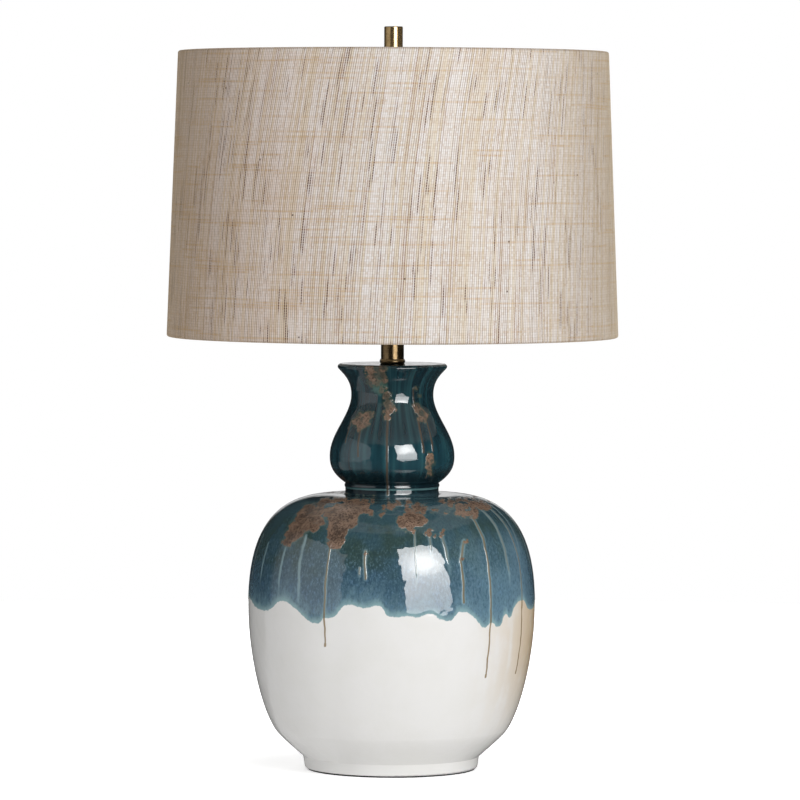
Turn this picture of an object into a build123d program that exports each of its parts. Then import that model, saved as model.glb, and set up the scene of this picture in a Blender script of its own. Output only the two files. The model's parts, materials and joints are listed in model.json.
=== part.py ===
from build123d import *
import os
from math import cos, radians, sin, tan

# Gourd table lamp: a double-gourd glazed vessel on a felt-covered foot, a brass neck on a threaded rod,
# a turn-knob screw socket with its bulb, and a fabric drum shade held on a wire harp by a finial.
# Millimetres. +Z is up, the origin is the centre of the felt's underside, -Y is the front.
# Profiles are drawn as (radius, height) and turned about Z.

# Fits
SLIP = 0.15             # radial clearance of parts that slide over each other when assembled
RUNNING = 0.08          # radial clearance of the turning switch shaft
LOOSE = 0.25            # radial clearance of parts that slide by hand
GLUE = 0.15             # glue line between shade layers
BULB_CLEAR = 0.35       # play between bulb and screw shell

# Felt pad
FELT_T = 1.5
FELT_INSET = 2.2

# Vessel: foot, lower gourd, collar, upper gourd and lip, each height counted from the one below
FOOT_BOTTOM_R = 83.1
FOOT_LEAN = 1.4         # how far the foot's side leans out to its top
FOOT_H = 11.0
FOOT_ROUND = 1.6
FOOT_RING_W = 9.0
FOOT_FLARE = 42.0       # degrees above horizontal where the flank leaves the foot
HIP_R = 111.8
HIP_RISE = 26.2
HIP_ANGLE = 57.3        # degrees above horizontal of the flank at the hip
BELLY_R = 137.6
BELLY_RISE = 119.7
SHOULDER_R = 61.2
SHOULDER_RISE = 105.6
SHOULDER_TILT = 1.3     # degrees that the shoulder falls outwards
COLLAR_R = 44.7
COLLAR_H = 10.7
COLLAR_FILLET = 3.0
COLLAR_BEAD_H = 4.4
COLLAR_BEAD_OUT = 0.8
GOURD_R = 59.8
GOURD_RISE = 25.8
THROAT_R = 39.3
THROAT_RISE = 58.4
LIP_R = 52.4
LIP_RISE = 30.1
LIP_ROUND = 2.8
LIP_FLARE = 46.0        # degrees above horizontal where the flare meets the rounded lip
WALL = 7.0
TOP_PLATE_T = 8.0
FLOOR_T = 8.0
FLOOR_STEP = 5.0        # inner floor corner outside the foot's top radius
RECESS_H = 16.0
FLOOR_HOLE_R = 12.0

# Fullness of the vessel's curves: how far each end's tangent reaches, as a share of the rise between the ends
FLARE_LOW, FLARE_HIGH = 0.37, 0.30
FLANK_LOW, FLANK_HIGH = 0.214, 0.383
SHOULDER_LOW, SHOULDER_REACH = 0.525, 0.8
GOURD_SWELL_OUT, GOURD_SWELL_UP, GOURD_HIGH = 0.9, 0.365, 0.32
THROAT_LOW, THROAT_HIGH = 0.377, 0.33
LIP_LOW, LIP_HIGH = 0.48, 0.42

# Cord inlet in the back of the foot
INLET_BORE_R = 2.8
INLET_WALL = 0.65
INLET_FLANGE_OUT = 1.2
INLET_FLANGE_T = 1.2
INLET_TAIL = 1.6        # grommet end past the foot ring's inner face

# Threaded rod and its hardware
ROD_R = 4.8
ROD_BORE_R = 3.3
ROD_TAIL = 2.0
PLATE_R = 30.0
PLATE_T = 2.0
LOCK_WASHER_R = 9.0
LOCK_WASHER_T = 1.2
LOCK_TEETH = 12
LOCK_TOOTH_R = 1.1
NUT_FLATS = 14.0
NUT_H = 4.0
BUSH_WALL = 1.7
BUSH_FLANGE_OUT = 2.0
BUSH_FLANGE_T = 1.5

# Brass neck
RING_PROUD = 1.2        # ring outside the neck
RING_H = 4.5
RING_ROUND_IN = 0.9     # how far the ring's edges curve in from its widest line
SPIGOT_H = 3.0
NECK_R = 11.0
NECK_LENGTH = 48.5
NECK_WALL = 1.2

# Harp saddle, harp, sleeves and stud
SADDLE_W = 14.0
SADDLE_TIP_W = 5.0
SADDLE_T = 1.6
SADDLE_BEND = 5.0
SADDLE_ARM_H = 12.0
HARP_FOOT_X = 30.0
PEG_EASE = 0.1          # peg thinner than the harp's wire
PEG_H = 5.5
HARP_WIRE_R = 1.8
HARP_HEIGHT = 228.6
HARP_LEG = 40.0         # leg height from its end to the outward corner
HARP_FLARE_RISE = 42.0
HARP_SHOULDER_DROP = 41.7
HARP_HALF_W = 58.0
HARP_TOP_IN = 23.0      # top corner inside the side's line
HARP_LOW_BEND = 30.0
HARP_SIDE_BEND = 60.0
HARP_TOP_BEND = 34.0
PAD_R = 7.0
SLEEVE_WALL = 1.25
SLEEVE_H = 14.0
STUD_FLANGE_R = 6.5
STUD_FLANGE_T = 2.0
STUD_SHANK_R = 2.5
STUD_THREAD_R = 3.1
STUD_HEAD_R = 4.0
STUD_HEAD_T = 1.5
STUD_GRIP = 12.0        # thread inside the finial

# Socket
CAP_COLLAR_WALL = 2.05
CAP_COLLAR_H = 8.0
CAP_BOWL_H = 10.0
CAP_RIM_H = 6.0
CAP_WALL = 0.8
SET_SCREW_R = 1.5
SHELL_WALL = 0.5
SHELL_H = 47.0
SHELL_BEAD_OUT = 0.9
SHELL_BEAD_H = 3.0
SHELL_LIFT = 1.0        # shell foot above the cap's bowl
LINER_WALL = 0.8
LINER_GAP = 0.6         # liner to screw shell
SOCKET_BODY_H = 22.0
BODY_CHAMFER = 1.8
TERMINAL_POCKET = 1.8   # depth of the terminal flats
TERMINAL_HEAD_R = 2.8
TERMINAL_HEAD_T = 1.5
TERMINAL_SHANK_R = 1.4
TERMINAL_DEPTH = 5.0
TERMINAL_RISE = 7.0
SCREW_SHELL_WALL = 0.5
SCREW_SHELL_H = 20.0
SCREW_SHELL_HOLE_R = 6.0
CONTACT_R = 4.0
CONTACT_H = 2.4

# Switch
SHAFT_R = 1.8
SHAFT_RISE = 14.0       # shaft axis above the socket body's foot
SHAFT_DEPTH = 9.0       # shaft length inside the socket body
KNOB_HOLE_R = 3.2
KNOB_R = 6.0
KNOB_TAPER = 0.8
KNOB_SKIRT = 3.0        # straight part at the knob's inner end
KNOB_LENGTH = 15.0
KNOB_GAP = 2.0          # knob's inner face to the socket shell
KNOB_SEAT = 10.0        # shaft length inside the knob
KNOB_FLUTES = 10
FLUTE_R = 1.1
FLUTE_START = 3.0

# Bulb
BASE_R = 13.1
BASE_H = 19.0
INSULATOR_H = 4.0
INSULATOR_STEP = 1.0    # ledge at both ends of the insulator
TIP_R = 4.2
TIP_H = 2.0
TIP_GAP = 0.3
BULB_R = 30.0
BASE_WALL = 0.55
BULB_NECK_H = 12.0
BULB_SWELL_H = 46.0     # neck to widest line
BULB_SWELL_LOW, BULB_SWELL_HIGH = 0.45, 0.5
GLASS_T = 0.8
GLASS_SEAT = 5.0        # glass neck inside the screw base

# Shade
SHADE_TOP_R = 205.6
SHADE_FLARE = 10.5      # bottom edge outside the top edge
SHADE_HEIGHT = 272.6
FABRIC_T = 0.8
SHADE_LINER_T = 0.5
SHADE_WIRE_R = 1.5
HEM_W = 5.5             # rolled fabric edge, measured inwards
SPIDER_DROP = 12.7      # shade's top edge above the finial's seat
SPIDER_ARMS = 3
SPIDER_WIRE_R = 1.4
WASHER_MARGIN = 3.1     # washer outside the finial
WASHER_T = 2.0
ARM_LAP = 1.8           # arm's overlap with the washer's rim

# Finial
FINIAL_R = 8.9
FINIAL_LENGTH = 36.4
FINIAL_CHAMFER = 0.6
FINIAL_BORE_SPARE = 4.0

# Heights of the vessel
Z_FOOT = FELT_T + FOOT_H
Z_HIP = Z_FOOT + HIP_RISE
Z_BELLY = Z_HIP + BELLY_RISE
Z_SHOULDER = Z_BELLY + SHOULDER_RISE
Z_COLLAR = Z_SHOULDER + COLLAR_H
Z_GOURD = Z_COLLAR + GOURD_RISE
Z_THROAT = Z_GOURD + THROAT_RISE
Z_LIP = Z_THROAT + LIP_RISE
Z_RECESS = FELT_T + RECESS_H
Z_FLOOR = Z_RECESS + FLOOR_T
Z_TOP_PLATE = Z_LIP - TOP_PLATE_T
Z_INLET = FELT_T + FOOT_H / 2
FOOT_TOP_R = FOOT_BOTTOM_R + FOOT_LEAN
FOOT_INNER_R = FOOT_BOTTOM_R - FOOT_RING_W
INLET_IN = FOOT_INNER_R - INLET_TAIL
INLET_OUT = max(FOOT_BOTTOM_R, FOOT_TOP_R) + INLET_FLANGE_T

# Heights of the hardware, bottom to top
Z_PLATE = Z_RECESS - PLATE_T
Z_LOCK_WASHER = Z_PLATE - LOCK_WASHER_T
Z_BOTTOM_NUT = Z_LOCK_WASHER - NUT_H
Z_ROD = Z_BOTTOM_NUT - ROD_TAIL
Z_NECK = Z_LIP + RING_H
Z_SADDLE = Z_NECK + NECK_LENGTH
Z_TOP_NUT = Z_SADDLE + SADDLE_T
Z_CAP = Z_TOP_NUT + NUT_H
Z_BOWL = Z_CAP + CAP_COLLAR_H
Z_RIM = Z_BOWL + CAP_BOWL_H
Z_SHELL = Z_RIM + SHELL_LIFT
Z_SHELL_TOP = Z_SHELL + SHELL_H
Z_BODY_TOP = Z_SHELL + SOCKET_BODY_H
Z_SHAFT = Z_SHELL + SHAFT_RISE
Z_TIP = Z_BODY_TOP + CONTACT_H + TIP_GAP
Z_BASE = Z_TIP + TIP_H + INSULATOR_H
Z_BASE_TOP = Z_BASE + BASE_H
Z_GLASS = Z_BASE_TOP - GLASS_SEAT
Z_PEG = Z_TOP_NUT + SADDLE_ARM_H
Z_LEG = Z_PEG + PEG_H
Z_HARP_SEAT = Z_SADDLE + HARP_HEIGHT
Z_HARP_TOP = Z_HARP_SEAT - HARP_WIRE_R
Z_WASHER = Z_HARP_SEAT + STUD_FLANGE_T
Z_FINIAL = Z_WASHER + WASHER_T
Z_SHADE_TOP = Z_FINIAL + SPIDER_DROP
Z_SHADE_BOTTOM = Z_SHADE_TOP - SHADE_HEIGHT
LAMP_HEIGHT = Z_FINIAL + FINIAL_LENGTH

# Radii that follow from the fits
ROD_HOLE_R = ROD_R + SLIP
TOP_HOLE_R = ROD_HOLE_R + BUSH_WALL + SLIP
BUSH_FLANGE_R = TOP_HOLE_R + BUSH_FLANGE_OUT
INLET_R = INLET_BORE_R + INLET_WALL + SLIP
INLET_FLANGE_R = INLET_R + INLET_FLANGE_OUT
RING_R = NECK_R + RING_PROUD
CAP_COLLAR_R = ROD_HOLE_R + CAP_COLLAR_WALL
PEG_R = HARP_WIRE_R - PEG_EASE
SLEEVE_BORE_R = HARP_WIRE_R + LOOSE
BULB_NECK_R = BASE_R - BASE_WALL - SLIP
SCREW_SHELL_R = BASE_R + BULB_CLEAR + SCREW_SHELL_WALL
LINER_R = SCREW_SHELL_R + LINER_GAP + LINER_WALL
SHELL_R = LINER_R + SLIP + SHELL_WALL
SOCKET_BODY_R = LINER_R - LINER_WALL - SLIP
TERMINAL_FLAT = SOCKET_BODY_R - TERMINAL_POCKET
CAP_RIM_R = SHELL_R + SLIP + CAP_WALL
KNOB_FACE = SHELL_R + KNOB_GAP
SHADE_BOTTOM_R = SHADE_TOP_R + SHADE_FLARE
WASHER_R = FINIAL_R + WASHER_MARGIN


def lathe(*curves):
    """Solid turned about Z from a closed outline of curves in (radius, height)."""
    edges = [edge for curve in curves for edge in curve.edges()]
    return revolve(Plane.XZ * make_face(edges), Axis.Z)


def tube(outer_r, inner_r, low, high):
    """Plain ring, washer or tube about Z; an inner radius of 0 gives a disc."""
    corners = [(inner_r, low), (outer_r, low), (outer_r, high), (inner_r, high)]
    return lathe(Polyline(*corners, close=True))


def along_y(radius, start, end, height):
    """Round bar from y = start to y = end at one height."""
    bar = Cylinder(radius, abs(end - start), align=(Align.CENTER, Align.CENTER, Align.MIN))
    return Pos(0, max(start, end), height) * Rot(90, 0, 0) * bar


def polar(length, degrees):
    """Step of a length in a direction, as (radius, height)."""
    return Vector(length * cos(radians(degrees)), length * sin(radians(degrees)))


def mirrored_pair(solid):
    """A solid and its mirror image across the YZ plane."""
    return [solid, mirror(solid, Plane.YZ)]


# Vessel


def shoulder_curve(inset):
    """Belly to shoulder, moved inside the glaze surface by an inset."""
    belly = Vector(BELLY_R - inset, Z_BELLY)
    shoulder = Vector(SHOULDER_R, Z_SHOULDER - inset)
    reach = SHOULDER_REACH * (belly.X - shoulder.X)
    crown = shoulder + Vector(reach, -reach * tan(radians(SHOULDER_TILT)))
    return Bezier(belly, belly + Vector(0, SHOULDER_LOW * (shoulder.Y - belly.Y)), crown, shoulder)


def flank_curve(inset):
    """Hip to belly, moved inside the glaze surface by an inset."""
    hip = Vector(HIP_R, Z_HIP) + polar(inset, HIP_ANGLE + 90)
    belly = Vector(BELLY_R - inset, Z_BELLY)
    rise = belly.Y - hip.Y
    return Bezier(hip, hip + polar(FLANK_LOW * rise, HIP_ANGLE), belly - Vector(0, FLANK_HIGH * rise), belly)


def gourd_curves(inset):
    """Collar to widest line and on to the throat of the upper gourd."""
    collar = Vector(COLLAR_R - inset, Z_COLLAR)
    widest = Vector(GOURD_R - inset, Z_GOURD)
    throat = Vector(THROAT_R - inset, Z_THROAT)
    swell = collar + Vector(GOURD_SWELL_OUT * (widest.X - collar.X), GOURD_SWELL_UP * GOURD_RISE)
    lower = Bezier(collar, swell, widest - Vector(0, GOURD_HIGH * GOURD_RISE), widest)
    leave = widest + Vector(0, THROAT_LOW * THROAT_RISE)
    arrive = throat - Vector(0, THROAT_HIGH * THROAT_RISE)
    return lower, Bezier(widest, leave, arrive, throat)


def foot_curves(outset):
    """Foot ring's outer side and the curve out to the hip, moved outwards by an outset."""
    edge = Vector(FOOT_BOTTOM_R - FOOT_ROUND + outset, FELT_T)
    side = Vector(FOOT_BOTTOM_R + outset, FELT_T + FOOT_ROUND)
    top = Vector(FOOT_TOP_R + outset, Z_FOOT)
    hip = Vector(HIP_R + outset, Z_HIP)
    rounded = RadiusArc(edge, side, -FOOT_ROUND)
    leave = top + polar(FLARE_LOW * HIP_RISE, FOOT_FLARE)
    arrive = hip - polar(FLARE_HIGH * HIP_RISE, HIP_ANGLE)
    return rounded, Line(side, top), Bezier(top, leave, arrive, hip)


def collar_curves():
    """Fillet, short wall and bead between the two gourds."""
    fillet_start = Vector(COLLAR_R + COLLAR_FILLET, Z_SHOULDER)
    fillet_end = Vector(COLLAR_R, Z_SHOULDER + COLLAR_FILLET)
    bead_top = Vector(COLLAR_R, Z_COLLAR)
    bead_foot = bead_top - Vector(0, COLLAR_BEAD_H)
    bead_middle = bead_top + Vector(COLLAR_BEAD_OUT, -COLLAR_BEAD_H / 2)
    return (
        Line(Vector(SHOULDER_R, Z_SHOULDER), fillet_start),
        RadiusArc(fillet_start, fillet_end, COLLAR_FILLET),
        Line(fillet_end, bead_foot),
        ThreePointArc(bead_foot, bead_middle, bead_top),
    )


def lip_curves():
    """Flare above the throat, rounded lip and flat top in to the rod hole."""
    throat = Vector(THROAT_R, Z_THROAT)
    centre = Vector(LIP_R - LIP_ROUND, Z_LIP - LIP_ROUND)
    under = centre + polar(LIP_ROUND, LIP_FLARE - 90)
    crest = centre + Vector(0, LIP_ROUND)
    rise = under.Y - throat.Y
    flare = Bezier(throat, throat + Vector(0, LIP_LOW * rise), under - polar(LIP_HIGH * rise, LIP_FLARE), under)
    rounded = ThreePointArc(under, centre + polar(LIP_ROUND, LIP_FLARE / 2), crest)
    return flare, rounded, Line(crest, Vector(TOP_HOLE_R, Z_LIP))


def vessel_lining():
    """Inside of the vessel from the rod hole down to the recess under the floor."""
    throat_r = THROAT_R - WALL
    collar_r = COLLAR_R - WALL
    ceiling = Z_SHOULDER - WALL
    gourd_low, gourd_high = gourd_curves(WALL)
    flank = flank_curve(WALL)
    floor_r = FOOT_TOP_R + FLOOR_STEP
    return (
        Polyline((TOP_HOLE_R, Z_LIP), (TOP_HOLE_R, Z_TOP_PLATE), (throat_r, Z_TOP_PLATE), (throat_r, Z_THROAT)),
        gourd_high,
        gourd_low,
        Polyline((collar_r, Z_COLLAR), (collar_r, ceiling), (SHOULDER_R, ceiling)),
        shoulder_curve(WALL),
        flank,
        Polyline(flank @ 0, (floor_r, Z_FLOOR), (FLOOR_HOLE_R, Z_FLOOR), (FLOOR_HOLE_R, Z_RECESS)),
        Polyline(
            (FLOOR_HOLE_R, Z_RECESS),
            (FOOT_INNER_R, Z_RECESS),
            (FOOT_INNER_R, FELT_T),
            (FOOT_BOTTOM_R - FOOT_ROUND, FELT_T),
        ),
    )


def ceramic_body():
    """Hollow double gourd with a foot ring, a drilled floor, a closed top and the cord hole."""
    lower = [*foot_curves(0), flank_curve(0), shoulder_curve(0)]
    upper = [*collar_curves(), *gourd_curves(0), *lip_curves()]
    vessel = lathe(*lower, *upper, *vessel_lining())
    return vessel - along_y(INLET_R, INLET_IN, INLET_OUT, Z_INLET)


def felt_base_pad():
    return tube(FOOT_BOTTOM_R - FELT_INSET, 0, 0, FELT_T)


def cord_grommet():
    """Bushing through the back of the foot, its flange trimmed to the foot's side."""
    bush = along_y(INLET_R - SLIP, INLET_IN, INLET_OUT, Z_INLET)
    flange = along_y(INLET_FLANGE_R, FOOT_INNER_R, INLET_OUT, Z_INLET)
    rounded, side, flare = foot_curves(SLIP)
    closing = Polyline(flare @ 1, (0, Z_HIP), (0, FELT_T), rounded @ 0)
    foot = lathe(rounded, side, flare, closing)
    return bush + (flange - foot) - along_y(INLET_BORE_R, INLET_IN, INLET_OUT, Z_INLET)


# Rod and clamping hardware


def threaded_rod():
    return tube(ROD_R, ROD_BORE_R, Z_ROD, Z_CAP + CAP_COLLAR_H)


def hex_nut(low):
    """Lock nut on the rod with its upper corners turned down."""
    blank = extrude(RegularPolygon(NUT_FLATS / 2, 6, major_radius=False), NUT_H)
    corner_r = NUT_FLATS / 2 / cos(radians(30))
    turned = tube(corner_r, 0, 0, NUT_H)
    turned = chamfer(turned.edges().group_by(Axis.Z)[-1], corner_r - NUT_FLATS / 2)
    return Pos(0, 0, low) * ((blank & turned) - Cylinder(ROD_HOLE_R, 3 * NUT_H))


def bottom_plate_washer():
    return tube(PLATE_R, ROD_HOLE_R, Z_PLATE, Z_RECESS)


def bottom_lock_washer():
    """Toothed washer: notches round the rim leave the teeth."""
    washer = tube(LOCK_WASHER_R, ROD_HOLE_R, Z_LOCK_WASHER, Z_PLATE)
    notch = Pos(0, 0, Z_LOCK_WASHER) * Cylinder(LOCK_TOOTH_R, 3 * LOCK_WASHER_T)
    return washer - [spot * notch for spot in PolarLocations(LOCK_WASHER_R, LOCK_TEETH)]


def rod_bush():
    """Flanged bush that centres the rod in the vessel's top hole."""
    sleeve = tube(TOP_HOLE_R - SLIP, ROD_HOLE_R, Z_TOP_PLATE, Z_LIP)
    return sleeve + tube(BUSH_FLANGE_R, ROD_HOLE_R, Z_LIP, Z_LIP + BUSH_FLANGE_T)


# Neck


def neck_ring():
    """Rounded seat ring with a recess for the bush and a spigot that centres the neck."""
    edge_r = RING_R - RING_ROUND_IN
    spigot_r = NECK_R - NECK_WALL - SLIP
    recess_r = BUSH_FLANGE_R + SLIP
    recess_top = Z_LIP + BUSH_FLANGE_T
    return lathe(
        Line((recess_r, Z_LIP), (edge_r, Z_LIP)),
        ThreePointArc((edge_r, Z_LIP), (RING_R, Z_LIP + RING_H / 2), (edge_r, Z_NECK)),
        Polyline(
            (edge_r, Z_NECK),
            (spigot_r, Z_NECK),
            (spigot_r, Z_NECK + SPIGOT_H),
            (ROD_HOLE_R, Z_NECK + SPIGOT_H),
            (ROD_HOLE_R, recess_top),
            (recess_r, recess_top),
            (recess_r, Z_LIP),
        ),
    )


def brass_neck():
    """Drawn tube with a closed top drilled for the rod."""
    inner_r = NECK_R - NECK_WALL
    under_top = Z_SADDLE - NECK_WALL
    outline = [
        (inner_r, Z_NECK),
        (NECK_R, Z_NECK),
        (NECK_R, Z_SADDLE),
        (ROD_HOLE_R, Z_SADDLE),
        (ROD_HOLE_R, under_top),
        (inner_r, under_top),
    ]
    return lathe(Polyline(*outline, close=True))


# Harp


def harp_saddle():
    """Bent strip clamped on the rod, its arms narrowed to pegs that carry the harp's legs."""
    middle = Z_SADDLE + SADDLE_T / 2
    bends = FilletPolyline(
        (-HARP_FOOT_X, 0, Z_PEG),
        (-HARP_FOOT_X, 0, middle),
        (HARP_FOOT_X, 0, middle),
        (HARP_FOOT_X, 0, Z_PEG),
        radius=SADDLE_BEND,
    )
    section = Plane(bends @ 0, x_dir=(0, 1, 0), z_dir=bends % 0) * Rectangle(SADDLE_W, SADDLE_T)
    strip = sweep(section, bends)
    half, tip = SADDLE_W / 2, SADDLE_TIP_W / 2
    waist = middle + SADDLE_BEND
    side_view = Polyline(
        (-half, Z_SADDLE),
        (half, Z_SADDLE),
        (half, waist),
        (tip, Z_PEG),
        (-tip, Z_PEG),
        (-half, waist),
        close=True,
    )
    strip &= extrude(Plane.YZ * make_face(side_view.edges()), HARP_FOOT_X + SADDLE_T, both=True)
    peg = Pos(HARP_FOOT_X, 0, Z_PEG + PEG_H / 2) * Cylinder(PEG_R, PEG_H)
    hole = Pos(0, 0, middle) * Cylinder(ROD_HOLE_R, 3 * SADDLE_T)
    return strip + mirrored_pair(peg) - hole


def harp_wire():
    """One bent wire from leg to leg, flattened to a drilled pad at the top."""
    corner = Z_LEG + HARP_LEG
    right = [
        (HARP_HALF_W - HARP_TOP_IN, 0, Z_HARP_TOP),
        (HARP_HALF_W, 0, Z_HARP_TOP - HARP_SHOULDER_DROP),
        (HARP_HALF_W, 0, corner + HARP_FLARE_RISE),
        (HARP_FOOT_X, 0, corner),
        (HARP_FOOT_X, 0, Z_LEG),
    ]
    left = [(-x, y, z) for x, y, z in reversed(right)]
    half_bends = [HARP_LOW_BEND, HARP_SIDE_BEND, HARP_SIDE_BEND, HARP_TOP_BEND]
    path = FilletPolyline(*left, *right, radius=[*half_bends, *reversed(half_bends)])
    wire = sweep(Plane(path @ 0, z_dir=path % 0) * Circle(HARP_WIRE_R), path)
    low, high = Z_HARP_TOP - HARP_WIRE_R, Z_HARP_TOP + HARP_WIRE_R
    return wire + tube(PAD_R, 0, low, high) - tube(STUD_SHANK_R + SLIP, 0, low, high)


def harp_stud():
    """Threaded stud riveted through the pad, with the flange that the shade's washer sits on."""
    pad_low = Z_HARP_SEAT - 2 * HARP_WIRE_R
    outline = [
        (0, pad_low - STUD_HEAD_T),
        (STUD_HEAD_R, pad_low - STUD_HEAD_T),
        (STUD_HEAD_R, pad_low),
        (STUD_SHANK_R, pad_low),
        (STUD_SHANK_R, Z_HARP_SEAT),
        (STUD_FLANGE_R, Z_HARP_SEAT),
        (STUD_FLANGE_R, Z_WASHER),
        (STUD_THREAD_R, Z_WASHER),
        (STUD_THREAD_R, Z_FINIAL + STUD_GRIP),
        (0, Z_FINIAL + STUD_GRIP),
    ]
    return lathe(Polyline(*outline, close=True))


def harp_sleeve():
    """Sleeve on the right leg, resting on the saddle arm; the left one mirrors it."""
    sleeve = tube(SLEEVE_BORE_R + SLEEVE_WALL, SLEEVE_BORE_R, Z_PEG, Z_PEG + SLEEVE_H)
    return Pos(HARP_FOOT_X, 0, 0) * sleeve


# Socket


def socket_cap():
    """Cup with a threaded collar, a rounded bowl and a rim that takes the shell."""
    inner_rim_r = CAP_RIM_R - CAP_WALL
    bowl_in = Z_BOWL + CAP_WALL
    rim_top = Z_RIM + CAP_RIM_H
    outer_bowl = Bezier((CAP_COLLAR_R, Z_BOWL), (CAP_RIM_R, Z_BOWL), (CAP_RIM_R, Z_RIM))
    inner_bowl = Bezier((ROD_HOLE_R, bowl_in), (inner_rim_r, bowl_in), (inner_rim_r, Z_RIM))
    cap = lathe(
        Polyline((ROD_HOLE_R, bowl_in), (ROD_HOLE_R, Z_CAP), (CAP_COLLAR_R, Z_CAP), (CAP_COLLAR_R, Z_BOWL)),
        outer_bowl,
        Polyline((CAP_RIM_R, Z_RIM), (CAP_RIM_R, rim_top), (inner_rim_r, rim_top), (inner_rim_r, Z_RIM)),
        inner_bowl,
    )
    return cap - along_y(SET_SCREW_R + SLIP, ROD_R, CAP_COLLAR_R + SLIP, Z_CAP + CAP_COLLAR_H / 2)


def cap_set_screw():
    """Slotted screw in the cap's collar that grips the rod."""
    height = Z_CAP + CAP_COLLAR_H / 2
    screw = along_y(SET_SCREW_R, ROD_R + SLIP, CAP_COLLAR_R, height)
    slot = Pos(0, CAP_COLLAR_R, height) * Box(4 * SET_SCREW_R, SET_SCREW_R, SET_SCREW_R / 3)
    return screw - slot


def socket_shell():
    """Thin brass tube with a bead above the cap and a hole for the switch shaft."""
    inner_r = SHELL_R - SHELL_WALL
    bead_low = Z_RIM + CAP_RIM_H
    bead = (SHELL_R + SHELL_BEAD_OUT, bead_low + SHELL_BEAD_H / 2)
    shell = lathe(
        Polyline((inner_r, Z_SHELL), (SHELL_R, Z_SHELL), (SHELL_R, bead_low)),
        ThreePointArc((SHELL_R, bead_low), bead, (SHELL_R, bead_low + SHELL_BEAD_H)),
        Polyline(
            (SHELL_R, bead_low + SHELL_BEAD_H),
            (SHELL_R, Z_SHELL_TOP),
            (inner_r, Z_SHELL_TOP),
            (inner_r, Z_SHELL),
        ),
    )
    return shell - along_y(KNOB_HOLE_R, 0, -2 * SHELL_R, Z_SHAFT)


def socket_liner():
    """Insulating paper sleeve between the shell and the socket's inside."""
    sleeve = tube(LINER_R, LINER_R - LINER_WALL, Z_SHELL, Z_SHELL_TOP - SHELL_LIFT)
    return sleeve - along_y(KNOB_HOLE_R, 0, -2 * SHELL_R, Z_SHAFT)


def socket_body():
    """Moulded switch block with two terminal flats and the shaft's bore."""
    block = tube(SOCKET_BODY_R, 0, Z_SHELL, Z_BODY_TOP)
    block = chamfer(block.edges().group_by(Axis.Z)[0], BODY_CHAMFER)
    pocket = Pos(TERMINAL_FLAT + SOCKET_BODY_R, 0, Z_SHELL + TERMINAL_RISE) * Box(
        2 * SOCKET_BODY_R, 4 * TERMINAL_HEAD_R, 4 * TERMINAL_HEAD_R
    )
    hole = Pos(TERMINAL_FLAT, 0, Z_SHELL + TERMINAL_RISE) * Rot(0, 90, 0) * Cylinder(
        TERMINAL_SHANK_R + SLIP, 2 * TERMINAL_DEPTH
    )
    bore = along_y(SHAFT_R + RUNNING, SHAFT_DEPTH - SOCKET_BODY_R + RUNNING, -SOCKET_BODY_R, Z_SHAFT)
    return block - mirrored_pair(pocket) - mirrored_pair(hole) - bore


def terminal_screws():
    """Two binding screws, one on each terminal flat."""
    head = Cylinder(TERMINAL_HEAD_R, TERMINAL_HEAD_T, align=(Align.CENTER, Align.CENTER, Align.MIN))
    shank = Cylinder(TERMINAL_SHANK_R, TERMINAL_DEPTH, align=(Align.CENTER, Align.CENTER, Align.MAX))
    slot = Pos(0, 0, TERMINAL_HEAD_T) * Box(3 * TERMINAL_HEAD_R, TERMINAL_HEAD_T / 2, TERMINAL_HEAD_T)
    screw = Pos(TERMINAL_FLAT, 0, Z_SHELL + TERMINAL_RISE) * Rot(0, 90, 0) * (head + shank - slot)
    return Compound(children=mirrored_pair(screw))


def socket_screw_shell():
    """Cup that the bulb's base screws into, open in the middle for the contact."""
    inner_r = SCREW_SHELL_R - SCREW_SHELL_WALL
    floor = Z_BODY_TOP + SCREW_SHELL_WALL
    top = Z_BODY_TOP + SCREW_SHELL_H
    outline = [
        (SCREW_SHELL_HOLE_R, Z_BODY_TOP),
        (SCREW_SHELL_R, Z_BODY_TOP),
        (SCREW_SHELL_R, top),
        (inner_r, top),
        (inner_r, floor),
        (SCREW_SHELL_HOLE_R, floor),
    ]
    return lathe(Polyline(*outline, close=True))


def socket_contact():
    """Domed centre contact on the switch block."""
    dome = Z_BODY_TOP + CONTACT_H
    edge = Z_BODY_TOP + CONTACT_H / 2
    return lathe(
        Polyline((0, dome), (0, Z_BODY_TOP), (CONTACT_R, Z_BODY_TOP), (CONTACT_R, edge)),
        Bezier((CONTACT_R, edge), (CONTACT_R, dome), (0, dome)),
    )


# Switch


def switch_shaft():
    inner_end = SHAFT_DEPTH - SOCKET_BODY_R
    return along_y(SHAFT_R, inner_end, -KNOB_FACE - KNOB_SEAT, Z_SHAFT)


def switch_knob():
    """Tapered turn knob with flutes round its grip and a blind bore for the shaft."""
    tip_r = KNOB_R - KNOB_TAPER
    profile = [(0, 0), (KNOB_R, 0), (KNOB_R, KNOB_SKIRT), (tip_r, KNOB_LENGTH), (0, KNOB_LENGTH)]
    blank = lathe(Polyline(*profile, close=True))
    blank = fillet(blank.edges().group_by(Axis.Z)[-1], KNOB_TAPER)
    flute = Pos(0, 0, FLUTE_START) * Cylinder(
        FLUTE_R, KNOB_LENGTH, align=(Align.CENTER, Align.CENTER, Align.MIN)
    )
    blank -= [spot * flute for spot in PolarLocations(KNOB_R, KNOB_FLUTES)]
    blank -= Cylinder(SHAFT_R + SLIP, 2 * KNOB_SEAT)
    return Pos(0, -KNOB_FACE, Z_SHAFT) * Rot(90, 0, 0) * blank


# Bulb


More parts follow.
